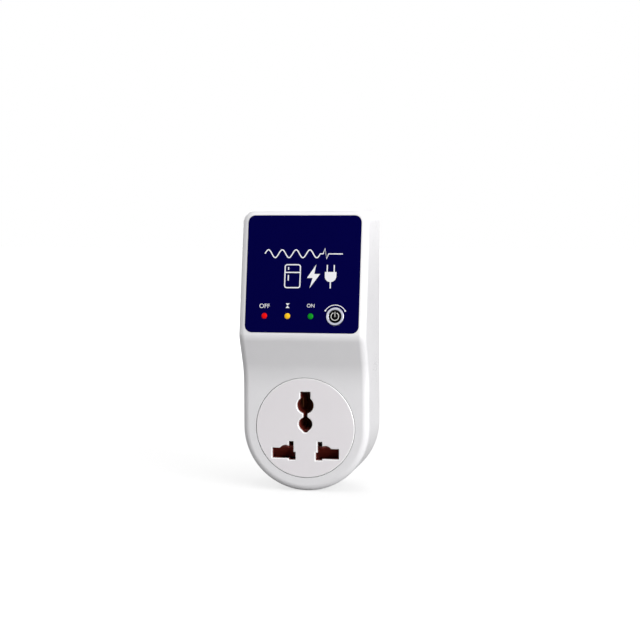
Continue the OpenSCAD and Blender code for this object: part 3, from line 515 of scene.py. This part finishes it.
def frontDepth(height):
    # side profile: flat socket deck, hollow at the foot, slope, round brow, tilted label deck
    if height <= footLow:
        return shell["lowDepth"]
    if height < footTop:
        reach, rise = footTop - footLow, shell["footRound"] * (1 - math.cos(slope))
        along, climb = (height - footLow) / reach, reach * math.tan(slope)
        return shell["lowDepth"] + (3 * rise - climb) * along ** 2 + (climb - 2 * rise) * along ** 3
    if height < browLow:
        return shell["browDepth"] - (shell["browHeight"] - height) * math.tan(slope)
    if height < browTop:
        return browAxis[1] + math.sqrt(shell["browRound"] ** 2 - (height - browAxis[0]) ** 2)
    return shell["browDepth"] - (height - shell["browHeight"]) * math.tan(shell["deckTilt"])


def insideBy(x, y):
    # how far a point lies inside the front outline
    if y < shell["socketHeight"]:
        return half - math.hypot(x, y - shell["socketHeight"])
    inX, inY = half - shell["cornerRound"], shell["top"] - shell["cornerRound"]
    if abs(x) > inX and y > inY:
        return shell["cornerRound"] - math.hypot(abs(x) - inX, y - inY)
    return min(half - abs(x), shell["top"] - y)


def onRim(edge, depth):
    return all(abs(corner.co.z - depth) < near and insideBy(*corner.co.xy) < 2 * near
               for corner in edge.verts)


def onFront(face):
    return all(abs(corner.co.z - frontDepth(corner.co.y)) < near for corner in face.verts)


def outlineBlock(low, high):
    # half circle drawn up into a straight body, its top corners rounded, then raised
    bpy.ops.mesh.primitive_circle_add(vertices=160, radius=half, fill_type="NGON",
                                      location=(0, shell["socketHeight"], 0))
    bpy.ops.object.transform_apply()
    edit()
    bpy.ops.mesh.select_all(action="SELECT")
    bpy.ops.transform.translate(value=(0, 0, low))
    bpy.ops.mesh.bisect(plane_co=(0, shell["socketHeight"], low), plane_no=(0, 1, 0), clear_outer=True)
    pick("edges", lambda edge: all(abs(corner.co.y - shell["socketHeight"]) < near
                                   for corner in edge.verts))
    bpy.ops.mesh.extrude_region_move(
        TRANSFORM_OT_translate={"value": (0, shell["top"] - shell["socketHeight"], 0)})
    bpy.ops.mesh.select_all(action="SELECT")
    bpy.ops.mesh.dissolve_limited(angle_limit=math.radians(0.01))
    pick("verts", lambda corner: abs(corner.co.y - shell["top"]) < near)
    bpy.ops.mesh.bevel(offset=shell["cornerRound"], segments=10, affect="VERTICES")
    bpy.ops.mesh.select_all(action="SELECT")
    raiseBy(high - low)
    bpy.ops.mesh.select_all(action="SELECT")
    bpy.ops.mesh.normals_make_consistent(inside=False)
    return done()


def shapeDeck(block):
    # cross cuts where the profile bends, each row then drawn out to its depth
    rows = [footLow + (footTop - footLow) * step / 12 for step in range(13)]
    rows += [browLow + (browTop - browLow) * step / 10 for step in range(11)]
    edit()
    for row in rows:
        bpy.ops.mesh.select_all(action="SELECT")
        bpy.ops.mesh.bisect(plane_co=(0, row, 0), plane_no=(0, 1, 0))
    heights = sorted({round(corner.co.y, 7) for corner in
                      bmesh.from_edit_mesh(block.data).verts if corner.co.y > footLow})
    for height in heights:
        rise = frontDepth(height) - shell["lowDepth"]
        if pick("verts", lambda corner: abs(corner.co.y - height) < near / 10
                and corner.co.z > shell["seam"] + mm) and rise:
            bpy.ops.transform.translate(value=(0, 0, rise))
    pick("edges", lambda edge: sum(onFront(face) for face in edge.link_faces) == 1)
    roundEdges(shell["edgeRound"], 8, profile=0.5)
    return done()


def frontShell():
    block = shapeDeck(outlineBlock(shell["seam"], shell["lowDepth"]))
    edit()
    pick("faces", level(shell["seam"]))
    bpy.ops.mesh.delete(type="FACE")
    done()
    useTool(block, "SOLIDIFY", thickness=shell["wall"], offset=-1, use_even_offset=True)
    return block


block = frontShell()
print("front shell:", len(block.data.polygons), "faces")


label = {"width": 49 * mm, "height": 50.2 * mm, "rise": 2.2 * mm, "corner": 3 * mm,
         "thick": 0.5 * mm, "recess": 0.4 * mm, "play": 0.1 * mm, "edge": 0.07 * mm}
lampRow = {"rise": 9.3 * mm, "pitch": 10 * mm, "middle": -6.2 * mm, "radius": 1.5 * mm, "lens": 1.2 * mm,
           "proud": 0.45 * mm, "low": -4.6 * mm, "flange": 0.4 * mm}
button = {"across": 14.4 * mm, "radius": 2.62 * mm, "gap": 0.13 * mm, "ring": 1.04 * mm,
          "ringProud": 0.5 * mm, "capProud": 0.7 * mm, "flange": 1.18 * mm, "stem": 1.7 * mm,
          "stemLow": -4 * mm, "rim": 0.45 * mm, "slope": 0.3 * mm, "dish": 0.05 * mm,
          "edge": 0.4 * mm, "ringEdge": 0.22 * mm, "under": 0.3 * mm}
insert = {"radius": 21.5 * mm, "gap": 0.2 * mm, "proud": 0.2 * mm, "thick": 3.5 * mm, "lip": 0.5 * mm}


def labelPlate(low, high, grow=0):
    lowCorner = (-label["width"] / 2 - grow, label["rise"] - grow, low)
    highCorner = (label["width"] / 2 + grow, label["rise"] + label["height"] + grow, high)
    return slab(lowCorner, highCorner, label["corner"] + grow, 8)


def openFront(block):
    over = 2 * shell["wall"]
    tools = [moved(disc(insert["radius"] + insert["gap"], shell["lowDepth"] - over,
                        shell["lowDepth"] + over, sides=160), socketFrame)]
    onDeck = [labelPlate(-label["recess"], over, label["play"])]
    for step in (-1, 0, 1):
        onDeck.append(disc(lampRow["radius"] + label["play"], -over, over,
                           (lampRow["middle"] + step * lampRow["pitch"], lampRow["rise"]), 40))
    onDeck.append(disc(button["radius"] + button["gap"], -over, over,
                       (button["across"], lampRow["rise"]), 48))
    tools += [moved(tool, deckFrame) for tool in onDeck]
    cut(block, joined(*tools), overlapping=True)
    choose(block)
    edit()
    middle = Vector((0, shell["socketHeight"]))
    pick("edges", lambda edge: level(shell["lowDepth"])(edge) and all(
        abs((corner.co.xy - middle).length - insert["radius"] - insert["gap"]) < near
        for corner in edge.verts))
    roundEdges(insert["lip"], 4)
    pick("edges", lambda edge: onRim(edge, shell["seam"]))
    roundEdges(shell["seamRound"], 2)
    return done()


hand(openFront(block), "frontHousing", whiteShell, "housing", "white_abs", "front_housing")


def labelPiece():
    plate = labelPlate(-label["recess"], label["thick"] - label["recess"])
    for step in (-1, 0, 1):
        cut(plate, disc(lampRow["lens"] + label["play"], -mm, mm,
                        (lampRow["middle"] + step * lampRow["pitch"], lampRow["rise"]), 40))
    cut(plate, disc(button["radius"] + button["gap"] + button["ring"] + label["play"], -mm, mm,
                    (button["across"], lampRow["rise"]), 64))
    softenRims(plate, label["edge"], 2)
    return moved(plate, deckFrame)


hand(labelPiece(), "labelPanel", blueOverlay, "housing", "blue_label", "label_panel")


ink = {"thick": 0.03 * mm, "line": 0.5 * mm}
# the label's signs, in millimetres across and up the deck from the brow
signs = {
    "waveStart": -16.8, "waveStep": 0.4, "waveTurn": 24, "waveSteps": 61, "waveRise": 35.9,
    "waveSwing": 1.7,
    "calm": [(7.2, 35.9), (8.4, 35.9), (9.2, 38.2), (10.0, 33.8), (10.8, 35.9), (16.9, 35.9)],
    "cabinet": (-7.8, -1.2, 21.4, 31.2, 0.9), "shelf": 27.9,
    "handle": -6.3, "handles": ((29.0, 30.2), (24.4, 26.8)),
    "flash": [(5.6, 31.3), (1.8, 25.6), (4.2, 25.6), (3.0, 21.2), (7.4, 27.3), (4.9, 27.3)],
    "prongs": (10.4, 13.4), "prongTop": 31.2, "plugTop": 28.2, "plugHalf": 2.5, "plugMiddle": 11.9,
    "plugRound": 26.4, "cordTop": 24.0, "cordLow": 21.2,
    "glass": 0.85, "glassTop": 14.7, "glassWaist": 13.7, "glassFoot": 12.7,
    "offRise": 13.4, "offSize": 2.65 * mm, "onRise": 13.7, "onSize": 2.2 * mm,
    "arc": 4.9, "arcEnds": (150, 30), "arcLine": 0.32 * mm, "arcDot": 0.38,
    "power": 1.64, "powerEnds": (116, 424), "powerLine": 0.28 * mm, "barLow": -0.2, "barTop": 1.95,
}


def inkFromCurve(points, closed, width):
    # a printed line, or a filled shape where the width is zero
    curve = bpy.data.curves.new("ink", "CURVE")
    curve.dimensions = "3D" if width else "2D"
    curve.fill_mode = "FULL" if width else "BOTH"
    spline = curve.splines.new("POLY")
    spline.points.add(len(points) - 1)
    for point, (x, y) in zip(spline.points, points):
        point.co = (x * mm, y * mm, 0, 1)
    spline.use_cyclic_u = closed
    if width:
        curve.bevel_depth = width / 2
        curve.bevel_resolution = 2
        curve.use_fill_caps = True
    else:
        curve.extrude = ink["thick"] / 2
    stroke = bpy.data.objects.new("ink", curve)
    bpy.context.scene.collection.objects.link(stroke)
    return flattened(stroke, ink["thick"] / width if width else 1)


def flattened(stroke, share):
    choose(stroke)
    bpy.ops.object.convert(target="MESH")
    stroke = bpy.context.object
    stroke.scale.z = share
    stroke.location.z += label["thick"] - label["recess"] + ink["thick"] / 2
    bpy.ops.object.transform_apply()
    return stroke


def inkWord(letters, x, y, size):
    bpy.ops.object.text_add(location=(x * mm, y * mm, 0))
    word = bpy.context.object
    word.data.body = letters
    word.data.size = size
    word.data.align_x = "CENTER"
    word.data.align_y = "CENTER"
    word.data.extrude = ink["thick"] / 2
    return flattened(word, 1)


def arc(x, y, radius, first, last, steps=12):
    return [(x + radius * math.cos(math.radians(first + (last - first) * step / steps)),
             y + radius * math.sin(math.radians(first + (last - first) * step / steps)))
            for step in range(steps + 1)]


def roundedFrame(left, right, low, high, radius):
    right, high = right - radius, high - radius
    left, low = left + radius, low + radius
    return (arc(right, high, radius, 90, 0, 5) + arc(right, low, radius, 0, -90, 5)
            + arc(left, low, radius, 270, 180, 5) + arc(left, high, radius, 180, 90, 5))


def labelPrint():
    line = ink["line"]
    wave = [(signs["waveStart"] + step * signs["waveStep"],
             signs["waveRise"] + signs["waveSwing"] * math.sin(math.radians(step * signs["waveTurn"])))
            for step in range(signs["waveSteps"])]
    marks = [inkFromCurve(wave + signs["calm"], False, line)]
    marks.append(inkFromCurve(roundedFrame(*signs["cabinet"]), True, line))
    shelf = [(edge, signs["shelf"]) for edge in signs["cabinet"][:2]]
    marks.append(inkFromCurve(shelf, False, line))
    for low, high in signs["handles"]:
        marks.append(inkFromCurve([(signs["handle"], low), (signs["handle"], high)], False, line))
    marks.append(inkFromCurve(signs["flash"], True, 0))
    top, half, middle = signs["plugTop"], signs["plugHalf"], signs["plugMiddle"]
    for prong in signs["prongs"]:
        marks.append(inkFromCurve([(prong, top), (prong, signs["prongTop"])], False, line))
    marks.append(inkFromCurve([(middle - half, top), (middle + half, top)]
                              + arc(middle, signs["plugRound"], half, 0, -180, 12), True, 0))
    marks.append(inkFromCurve([(middle, signs["cordTop"]), (middle, signs["cordLow"])], False, line))
    return moved(joined(*marks, *rowPrint()), deckFrame)


def rowPrint():
    # what is printed over the lamps and the button
    middle, pitch = lampRow["middle"] / mm, lampRow["pitch"] / mm
    marks = [inkWord("OFF", middle - pitch, signs["offRise"], signs["offSize"]),
             inkWord("ON", middle + pitch, signs["onRise"], signs["onSize"])]
    glass, waist = signs["glass"], (middle, signs["glassWaist"])
    marks.append(inkFromCurve([(middle - glass, signs["glassTop"]), (middle + glass, signs["glassTop"]),
                               waist], True, 0))
    marks.append(inkFromCurve([waist, (middle + glass, signs["glassFoot"]),
                               (middle - glass, signs["glassFoot"])], True, 0))
    across, rise = button["across"] / mm, lampRow["rise"] / mm
    curve = arc(across, rise, signs["arc"], *signs["arcEnds"], 16)
    marks.append(inkFromCurve(curve, False, signs["arcLine"]))
    for x, y in (curve[0], curve[-1]):
        marks.append(inkFromCurve(arc(x, y, signs["arcDot"], 0, 330, 11), True, 0))
    return marks


hand(labelPrint(), "labelPrint", whiteInk, "housing", "white_abs")


def lampPiece(step):
    at = (lampRow["middle"] + step * lampRow["pitch"], lampRow["rise"])
    lens, low = lampRow["lens"], lampRow["low"]
    bpy.ops.mesh.primitive_uv_sphere_add(segments=40, ring_count=20, radius=lens, location=(*at, 0))
    dome = bpy.context.object
    dome.scale.z = lampRow["proud"] / lens
    bpy.ops.object.transform_apply()
    neck = cut(disc(lens, -mm, 0, at, 40), dome, "UNION")
    body = disc(lampRow["radius"], low, -label["recess"] - label["play"], at, 40)
    flange = disc(lampRow["radius"] + lampRow["flange"], low, low + mm, at, 40)
    return moved(cut(cut(body, flange, "UNION"), neck, "UNION"), deckFrame)


for step, name, node, finish, slot in ((-1, "redLamp", "red_lamp", redLens, "lamp_red"),
                                       (0, "amberLamp", "yellow_lamp", amberLens, "lamp_yellow"),
                                       (1, "greenLamp", "green_lamp", greenLens, "lamp_green")):
    hand(lampPiece(step), name, finish, "housing", slot, node, smooth=60)


def ringPiece():
    at = (button["across"], lampRow["rise"])
    bore = button["radius"] + button["gap"]
    ring = cut(disc(bore + button["ring"], -label["recess"], button["ringProud"], at, 72),
               disc(bore, -mm, mm, at, 72))
    softenRims(ring, button["ringEdge"], 4)
    return moved(ring, deckFrame)


def capPiece():
    at = (button["across"], lampRow["rise"])
    under = -shell["wall"] - button["under"]
    cap = disc(button["radius"], under - button["flange"], button["capProud"], at, 64)
    edit()
    pick("faces", level(button["capProud"]))
    bpy.ops.mesh.inset(thickness=button["rim"])
    bpy.ops.mesh.inset(thickness=button["slope"])
    bpy.ops.transform.translate(value=(0, 0, -button["dish"]))
    pick("edges", lambda edge: level(button["capProud"])(edge) and all(
        abs((corner.co.xy - Vector(at)).length - button["radius"]) < near for corner in edge.verts))
    roundEdges(button["edge"], 5)
    done()
    cut(cap, disc(button["radius"] + button["flange"], under - button["flange"], under, at, 64), "UNION")
    cut(cap, disc(button["stem"], button["stemLow"], under, at, 32), "UNION")
    return moved(cap, deckFrame)


def powerMark():
    x, y = button["across"] / mm, lampRow["rise"] / mm
    ring = inkFromCurve(arc(x, y, signs["power"], *signs["powerEnds"], 44), False, signs["powerLine"])
    bar = inkFromCurve([(x, y + signs["barLow"]), (x, y + signs["barTop"])], False, signs["powerLine"])
    mark = joined(ring, bar)
    lift = button["capProud"] - button["dish"] - label["thick"] + label["recess"] - ink["thick"] / 3
    return moved(mark, deckFrame @ Matrix.Translation((0, 0, lift)))


hand(ringPiece(), "buttonRing", satinRing, "housing", "silver", "button_ring")
hand(capPiece(), "bypassButton", blackCap, "button", "black_plastic", "bypass_button")
hand(powerMark(), "buttonMark", greyInk, "button", "silver")


socket = {"drop": -56 * mm, "flange": 1.7 * mm, "lip": 0.48 * mm, "postRadius": 2.4 * mm,
          "postX": 13.364 * mm, "postRise": 24.479 * mm, "floor": 20.1 * mm, "thin": 1.4 * mm,
          "skirt": 1.2 * mm, "postHole": 1.15 * mm, "edgeRound": 0.4 * mm, "through": 0.2 * mm,
          "under": 0.5 * mm}
# the apertures, in millimetres from the middle of the live and neutral slots
aperture = {
    "slotOut": 14.59, "slotHalf": 2.2, "bulgeAcross": 8.75, "bulgeRise": 0.45, "bulge": 3.0,
    "bladeIn": 5.27, "bladeOut": 7.35, "bladeTop": 5.13, "toeIn": 4.4, "toeLow": -2.86, "toeTop": 0.5,
    "neck": 0.95, "upper": 3.62, "upperRise": 20.8, "lower": 3.0, "lowerRise": 12.7, "lowerTurn": -54.5,
    "tip": 0.6, "tipRise": 9.1, "slotTop": 26.62,
}


def crossing(offset, radius):
    return math.degrees(math.acos(offset / radius))


def slotOutline(wide):
    # live or neutral aperture: flat slot, upright slot and round hole in one, grown by wide
    across, rise, bulge = aperture["bulgeAcross"], aperture["bulgeRise"], aperture["bulge"] + wide
    half, out = aperture["slotHalf"] + wide, aperture["slotOut"] + wide
    bladeIn, bladeOut = aperture["bladeIn"] - wide, aperture["bladeOut"] + wide
    toe, toeLow, toeTop = aperture["toeIn"] - wide, aperture["toeLow"] - wide, aperture["toeTop"] + wide
    top = arc(across, rise, bulge, 90 - crossing(half - rise, bulge),
              crossing(bladeOut - across, bulge), 9)
    return ([(toe, toeLow), (bladeOut, toeLow), (bladeOut, -half), (out, -half), (out, half)] + top
            + [(bladeOut, aperture["bladeTop"] + wide), (bladeIn, aperture["bladeTop"] + wide),
               (bladeIn, toeTop), (toe, toeTop)])


def otherSlot(wide):
    return [(-x, y) for x, y in reversed(slotOutline(wide))]


def earthOutline(wide):
    # earth aperture: slot over a round hole, a neck and a pointed round hole
    neck, half = aperture["neck"] + wide, aperture["slotHalf"] + wide
    upper, lower = aperture["upper"] + wide, aperture["lower"] + wide
    right = [(aperture["tip"] + wide / 2, aperture["tipRise"] - wide)]
    right += arc(0, aperture["lowerRise"], lower, aperture["lowerTurn"], crossing(neck, lower), 14)
    right += arc(0, aperture["upperRise"], upper, -crossing(neck, upper), crossing(half, upper), 14)
    right.append((half, aperture["slotTop"] + wide))
    return right + [(-x, y) for x, y in reversed(right)]


def drawnIn(points, distance):
    # each side of a closed outline moved in by the same distance
    inner = []
    for place, (x, y) in enumerate(points):
        (lastX, lastY), (nextX, nextY) = points[place - 1], points[(place + 1) % len(points)]
        first = Vector((y - lastY, lastX - x)).normalized()
        second = Vector((nextY - y, x - nextX)).normalized()
        shift = (first + second) * distance / (1 + first.dot(second))
        inner.append((x - shift.x, y - shift.y))
    return inner


def lippedTool(outline, low, face):
    # a cutter that widens in a quarter round towards the face, worked out ring by ring,
    # because a bevel on the finished aperture breaks where the outline is tight
    lip, turns = socket["lip"], [math.radians(step * 17) for step in range(6)]
    levels = [(low, 0)]
    levels += [(face - lip * (1 - math.sin(turn)), lip * (1 - math.cos(turn))) for turn in turns]
    widest = levels[-1][1]
    levels.append((face + socket["through"], widest))
    points = outline(widest / mm)
    count, corners, faces = len(points), [], []
    for depth, wide in levels:
        corners += [(x * mm, y * mm, depth) for x, y in drawnIn(points, (widest - wide) / mm)]
    for ring in range(len(levels) - 1):
        for place in range(count):
            here, beside = ring * count + place, ring * count + (place + 1) % count
            faces.append((here, beside, beside + count, here + count))
    faces += [tuple(range(count))[::-1], tuple(range(len(corners) - count, len(corners)))]
    mesh = bpy.data.meshes.new("cutter")
    mesh.from_pydata(corners, [], faces)
    tool = bpy.data.objects.new("cutter", mesh)
    bpy.context.scene.collection.objects.link(tool)
    return moved(tool, Matrix.Translation((0, socket["drop"], 0)))


def insertPiece():
    face = shell["lowDepth"] + insert["proud"]
    plate = face - insert["thick"]
    back = face - socket["thin"]
    middle = Vector((0, shell["socketHeight"]))
    body = moved(disc(insert["radius"], plate, face, sides=160), socketFrame)
    cut(body, moved(disc(insert["radius"] + socket["flange"], plate, shell["lowDepth"] - shell["wall"],
                         sides=160), socketFrame), "UNION")
    cut(body, moved(disc(insert["radius"] - socket["skirt"], plate - mm, back, sides=120), socketFrame))
    for side in (-1, 1):
        at = (side * socket["postX"], socket["drop"] + socket["postRise"])
        cut(body, disc(socket["postRadius"], socket["floor"], (face + back) / 2, at, 40), "UNION")
        cut(body, disc(socket["postHole"], socket["floor"] - mm, plate, at, 24))
    for outline in (earthOutline, slotOutline, otherSlot):
        cut(body, lippedTool(outline, back - socket["under"], face))
    edit()
    pick("edges", lambda edge: level(face)(edge) and all(
        abs((corner.co.xy - middle).length - insert["radius"]) < near for corner in edge.verts))
    roundEdges(socket["edgeRound"], 4)
    return done()


hand(insertPiece(), "socketInsert", whiteInsert, "housing", "white_abs", "socket_insert")


rear = {"towerX": 21.5 * mm, "towerHeights": (42.5 * mm, -17 * mm), "towerRadius": 4.2 * mm,
        "wellRadius": 2.9 * mm, "wellDepth": 6.9 * mm, "screwHole": 1.55 * mm,
        "pocketDepth": 9.9 * mm, "pocketWall": 1.2 * mm, "pocketRim": 1.5 * mm, "holeRound": 0.2 * mm,
        "postX": 14.6 * mm, "postHeight": 14 * mm, "postRadius": 2.6 * mm, "postTop": 3.5 * mm,
        "postHole": 1.05 * mm, "pocketRound": 0.8 * mm, "pocketIn": 0.4 * mm, "pinRound": 0.5 * mm}
fuse = {"height": -12.5 * mm, "depth": 5.6 * mm, "width": 27.2 * mm, "half": 3.9 * mm,
        "plate": 1.6 * mm, "cradle": 5.5 * mm, "play": 0.3 * mm, "barrel": 3.075 * mm,
        "cradleOver": 0.9 * mm, "cradleLow": 0.2 * mm, "notch": 8 * mm, "notchHigh": 1.5 * mm,
        "notchDeep": 0.8 * mm, "notchRound": 0.3 * mm, "corner": 0.5 * mm, "edge": 0.12 * mm}
plug = {"pitch": 22.23 * mm, "earthRise": 22.23 * mm, "width": 6.35 * mm, "thick": 3.97 * mm,
        "length": 17.7 * mm, "earthWidth": 7.92 * mm, "earthLength": 22.73 * mm, "sleeve": 9 * mm,
        "sleeveWall": 0.45 * mm, "tip": 1.2 * mm, "edge": 0.35 * mm, "gap": 0.1 * mm,
        "flange": 1.6 * mm, "flangeThick": 1.5 * mm, "shankWide": 4 * mm, "shankDeep": 3 * mm,
        "liveTop": 11.1 * mm, "top": 9.6 * mm, "flangeRound": 0.4 * mm, "shankRound": 0.2 * mm,
        "overlap": 0.1 * mm, "sleeveEdge": 0.08 * mm}


def around(x, y, w, h, low, high, corner=0.0, steps=4):
    return slab((x - w / 2, y - h / 2, low), (x + w / 2, y + h / 2, high), corner, steps)


def rearShell():
    tray = outlineBlock(0, shell["seam"])
    edit()
    pick("faces", level(shell["seam"]))
    bpy.ops.mesh.delete(type="FACE")
    pick("edges", lambda edge: onRim(edge, 0))
    roundEdges(shell["backRound"], 3)
    done()
    useTool(tray, "SOLIDIFY", thickness=shell["wall"], offset=-1, use_even_offset=True)
    edit()
    pick("edges", lambda edge: onRim(edge, shell["seam"]))
    roundEdges(shell["seamRound"], 2)
    done()
    inner = shell["wall"] / 2
    solid = [around(0, fuse["height"], fuse["width"] + 2 * rear["pocketRim"],
                    2 * (fuse["half"] + rear["pocketRim"]), inner,
                    rear["pocketDepth"] + rear["pocketWall"], rear["pocketRound"])]
    hollow = [around(0, fuse["height"], fuse["width"] + 2 * fuse["play"],
                     2 * (fuse["half"] + fuse["play"]), -mm, rear["pocketDepth"], rear["pocketIn"])]
    for side in (-1, 1):
        for height in rear["towerHeights"]:
            at = (side * rear["towerX"], height)
            solid.append(disc(rear["towerRadius"], inner, shell["seam"], at, 48))
            hollow.append(disc(rear["wellRadius"], -mm, rear["wellDepth"], at, 48))
            hollow.append(disc(rear["screwHole"], -mm, shell["seam"] + mm, at, 32))
        at = (side * rear["postX"], rear["postHeight"])
        solid.append(disc(rear["postRadius"], inner, rear["postTop"], at, 32))
        hollow.append(disc(rear["postHole"], inner, rear["postTop"] + mm / 2, at, 24))
        hollow.append(around(side * plug["pitch"] / 2, 0, plug["width"] + 2 * plug["gap"],
                             plug["thick"] + 2 * plug["gap"], -mm, shell["wall"] + mm,
                             rear["pinRound"]))
    hollow.append(around(0, plug["earthRise"], plug["thick"] + 2 * plug["gap"],
                         plug["earthWidth"] + 2 * plug["gap"], -mm, shell["wall"] + mm,
                         rear["pinRound"]))
    cut(tray, joined(*solid), "UNION", overlapping=True)
    cut(tray, joined(*hollow), overlapping=True)
    edit()
    sharp = math.radians(shading["rim"])
    pick("edges", lambda edge: level(0)(edge) and edge.calc_face_angle(0) > sharp and all(
        insideBy(*corner.co.xy) > 2 * mm for corner in edge.verts))
    roundEdges(rear["holeRound"], 2)
    return done()


hand(rearShell(), "rearHousing", whiteShell, "housing", "white_abs", "rear_housing")


def pinPiece(width, length, top, sleeved):
    # blade with a rounded tip, neck under the sleeve, flange inside the wall, shank to the terminal
    blade = around(0, 0, width, plug["thick"], -length, -plug["sleeve"] if sleeved else shell["wall"])
    edit()
    pick("edges", level(-length))
    roundEdges(plug["tip"], 3, profile=0.4)
    pick("edges", lambda edge: edge.calc_face_angle(0) > math.radians(70)
         and abs(edge.verts[0].co.z - edge.verts[1].co.z) > 10 * near)
    roundEdges(plug["edge"], 3)
    done()
    wide, deep = width + 2 * plug["flange"], plug["thick"] + 2 * plug["flange"]
    parts = [around(0, 0, wide, deep, shell["wall"], shell["wall"] + plug["flangeThick"],
                    plug["flangeRound"]),
             around(0, 0, plug["shankWide"], plug["shankDeep"], shell["wall"], top,
                    plug["shankRound"])]
    if sleeved:
        thin = 2 * plug["sleeveWall"]
        parts.append(around(0, 0, width - thin, plug["thick"] - thin, -plug["sleeve"] - plug["overlap"],
                            shell["wall"] + plug["overlap"], plug["shankRound"]))
    cut(blade, joined(*parts), "UNION", overlapping=True)
    return blade


def sleevePiece():
    thin = 2 * plug["sleeveWall"]
    tube = around(0, 0, plug["width"], plug["thick"], -plug["sleeve"], 0, plug["edge"], 3)
    cut(tube, around(0, 0, plug["width"] - thin, plug["thick"] - thin, -plug["sleeve"] - mm, mm,
                     plug["shankRound"]))
    return softenRims(tube, plug["sleeveEdge"], 2)


for side, pole, top in ((1, "live", plug["liveTop"]), (-1, "neutral", plug["top"])):
    place = Matrix.Translation((side * plug["pitch"] / 2, 0, 0))
    hand(moved(pinPiece(plug["width"], plug["length"], top, True), place), pole + "Pin",
         pinBrass, "housing", "brass", pole + "_pin")
    hand(moved(sleevePiece(), place), pole + "Sleeve", greySleeve, "housing", "grey_plastic",
         pole + "_pin_sleeve")
earthPlace = Matrix.Translation((0, plug["earthRise"], 0)) @ Matrix.Rotation(math.pi / 2, 4, "Z")
hand(moved(pinPiece(plug["earthWidth"], plug["earthLength"], plug["top"], False), earthPlace),
     "earthPin", pinBrass, "housing", "brass", "earth_pin")


def carrierPiece():
    # plate flush with the back, cradle that the fuse lies in, notch for a screwdriver
    plate = around(0, 0, fuse["width"], 2 * fuse["half"], 0, fuse["plate"], fuse["corner"])
    cut(plate, around(0, 0, 2 * fuse["cradle"], 2 * fuse["half"], fuse["cradleLow"],
                      fuse["depth"] + fuse["cradleOver"]), "UNION")
    barrel = disc(fuse["barrel"], -2 * fuse["cradle"], 2 * fuse["cradle"], sides=64)
    cut(plate, moved(barrel, Matrix.Translation((0, 0, fuse["depth"]))
                     @ Matrix.Rotation(math.pi / 2, 4, "Y")))
    cut(plate, around(0, fuse["half"], fuse["notch"], fuse["notchHigh"], -mm, fuse["notchDeep"],
                      fuse["notchRound"]))
    softenRims(plate, fuse["edge"], 2)
    return moved(plate, Matrix.Translation((0, fuse["height"], 0)))


hand(carrierPiece(), "fuseCarrier", whiteShell, "carrier", "white_abs", "fuse_carrier")


screw = {"radius": 1.45 * mm, "length": 12 * mm, "head": 2.7 * mm, "headThick": 1.9 * mm,
         "slotWide": 0.7 * mm, "slotLong": 3.348 * mm, "slotDeep": 1.178 * mm, "depth": 5 * mm,
         "domed": 0.45, "narrower": (0.5, 0.8, 1)}


def screwPiece():
    # pan head facing down Z, cross recess, plain shank
    body = disc(screw["head"], 0, screw["headThick"], sides=48)
    edit()
    pick("edges", level(0))
    roundEdges(screw["domed"] * screw["headThick"], 4)
    done()
    for turn in (0, 90):
        around(0, 0, screw["slotLong"], screw["slotWide"], -mm, screw["slotDeep"])
        edit()
        pick("verts", lambda corner: corner.co.z > 0)
        bpy.ops.transform.resize(value=screw["narrower"], center_override=(0, 0, 0))
        cut(body, moved(done(), Matrix.Rotation(math.radians(turn), 4, "Z")))
    cut(body, disc(screw["radius"], screw["headThick"] - 0.1 * mm, screw["headThick"] + screw["length"],
                   sides=32), "UNION")
    return body


def caseScrews():
    first = screwPiece()
    copies = []
    for side in (-1, 1):
        for height in rear["towerHeights"]:
            copy = first.copy()
            copy.data = first.data.copy()
            bpy.context.scene.collection.objects.link(copy)
            copies.append(moved(copy, Matrix.Translation((side * rear["towerX"], height, screw["depth"]))
                                @ Matrix.Rotation(side * height * 90, 4, "Z")))
    bpy.data.objects.remove(first)
    return joined(*copies)


hand(caseScrews(), "caseScrews", zincSteel, "housing", "steel", "case_screws")


addCamera()
addStage()
addLights()
bpy.context.scene.view_settings.view_transform = "Standard"
print("camera, stage and light placed")
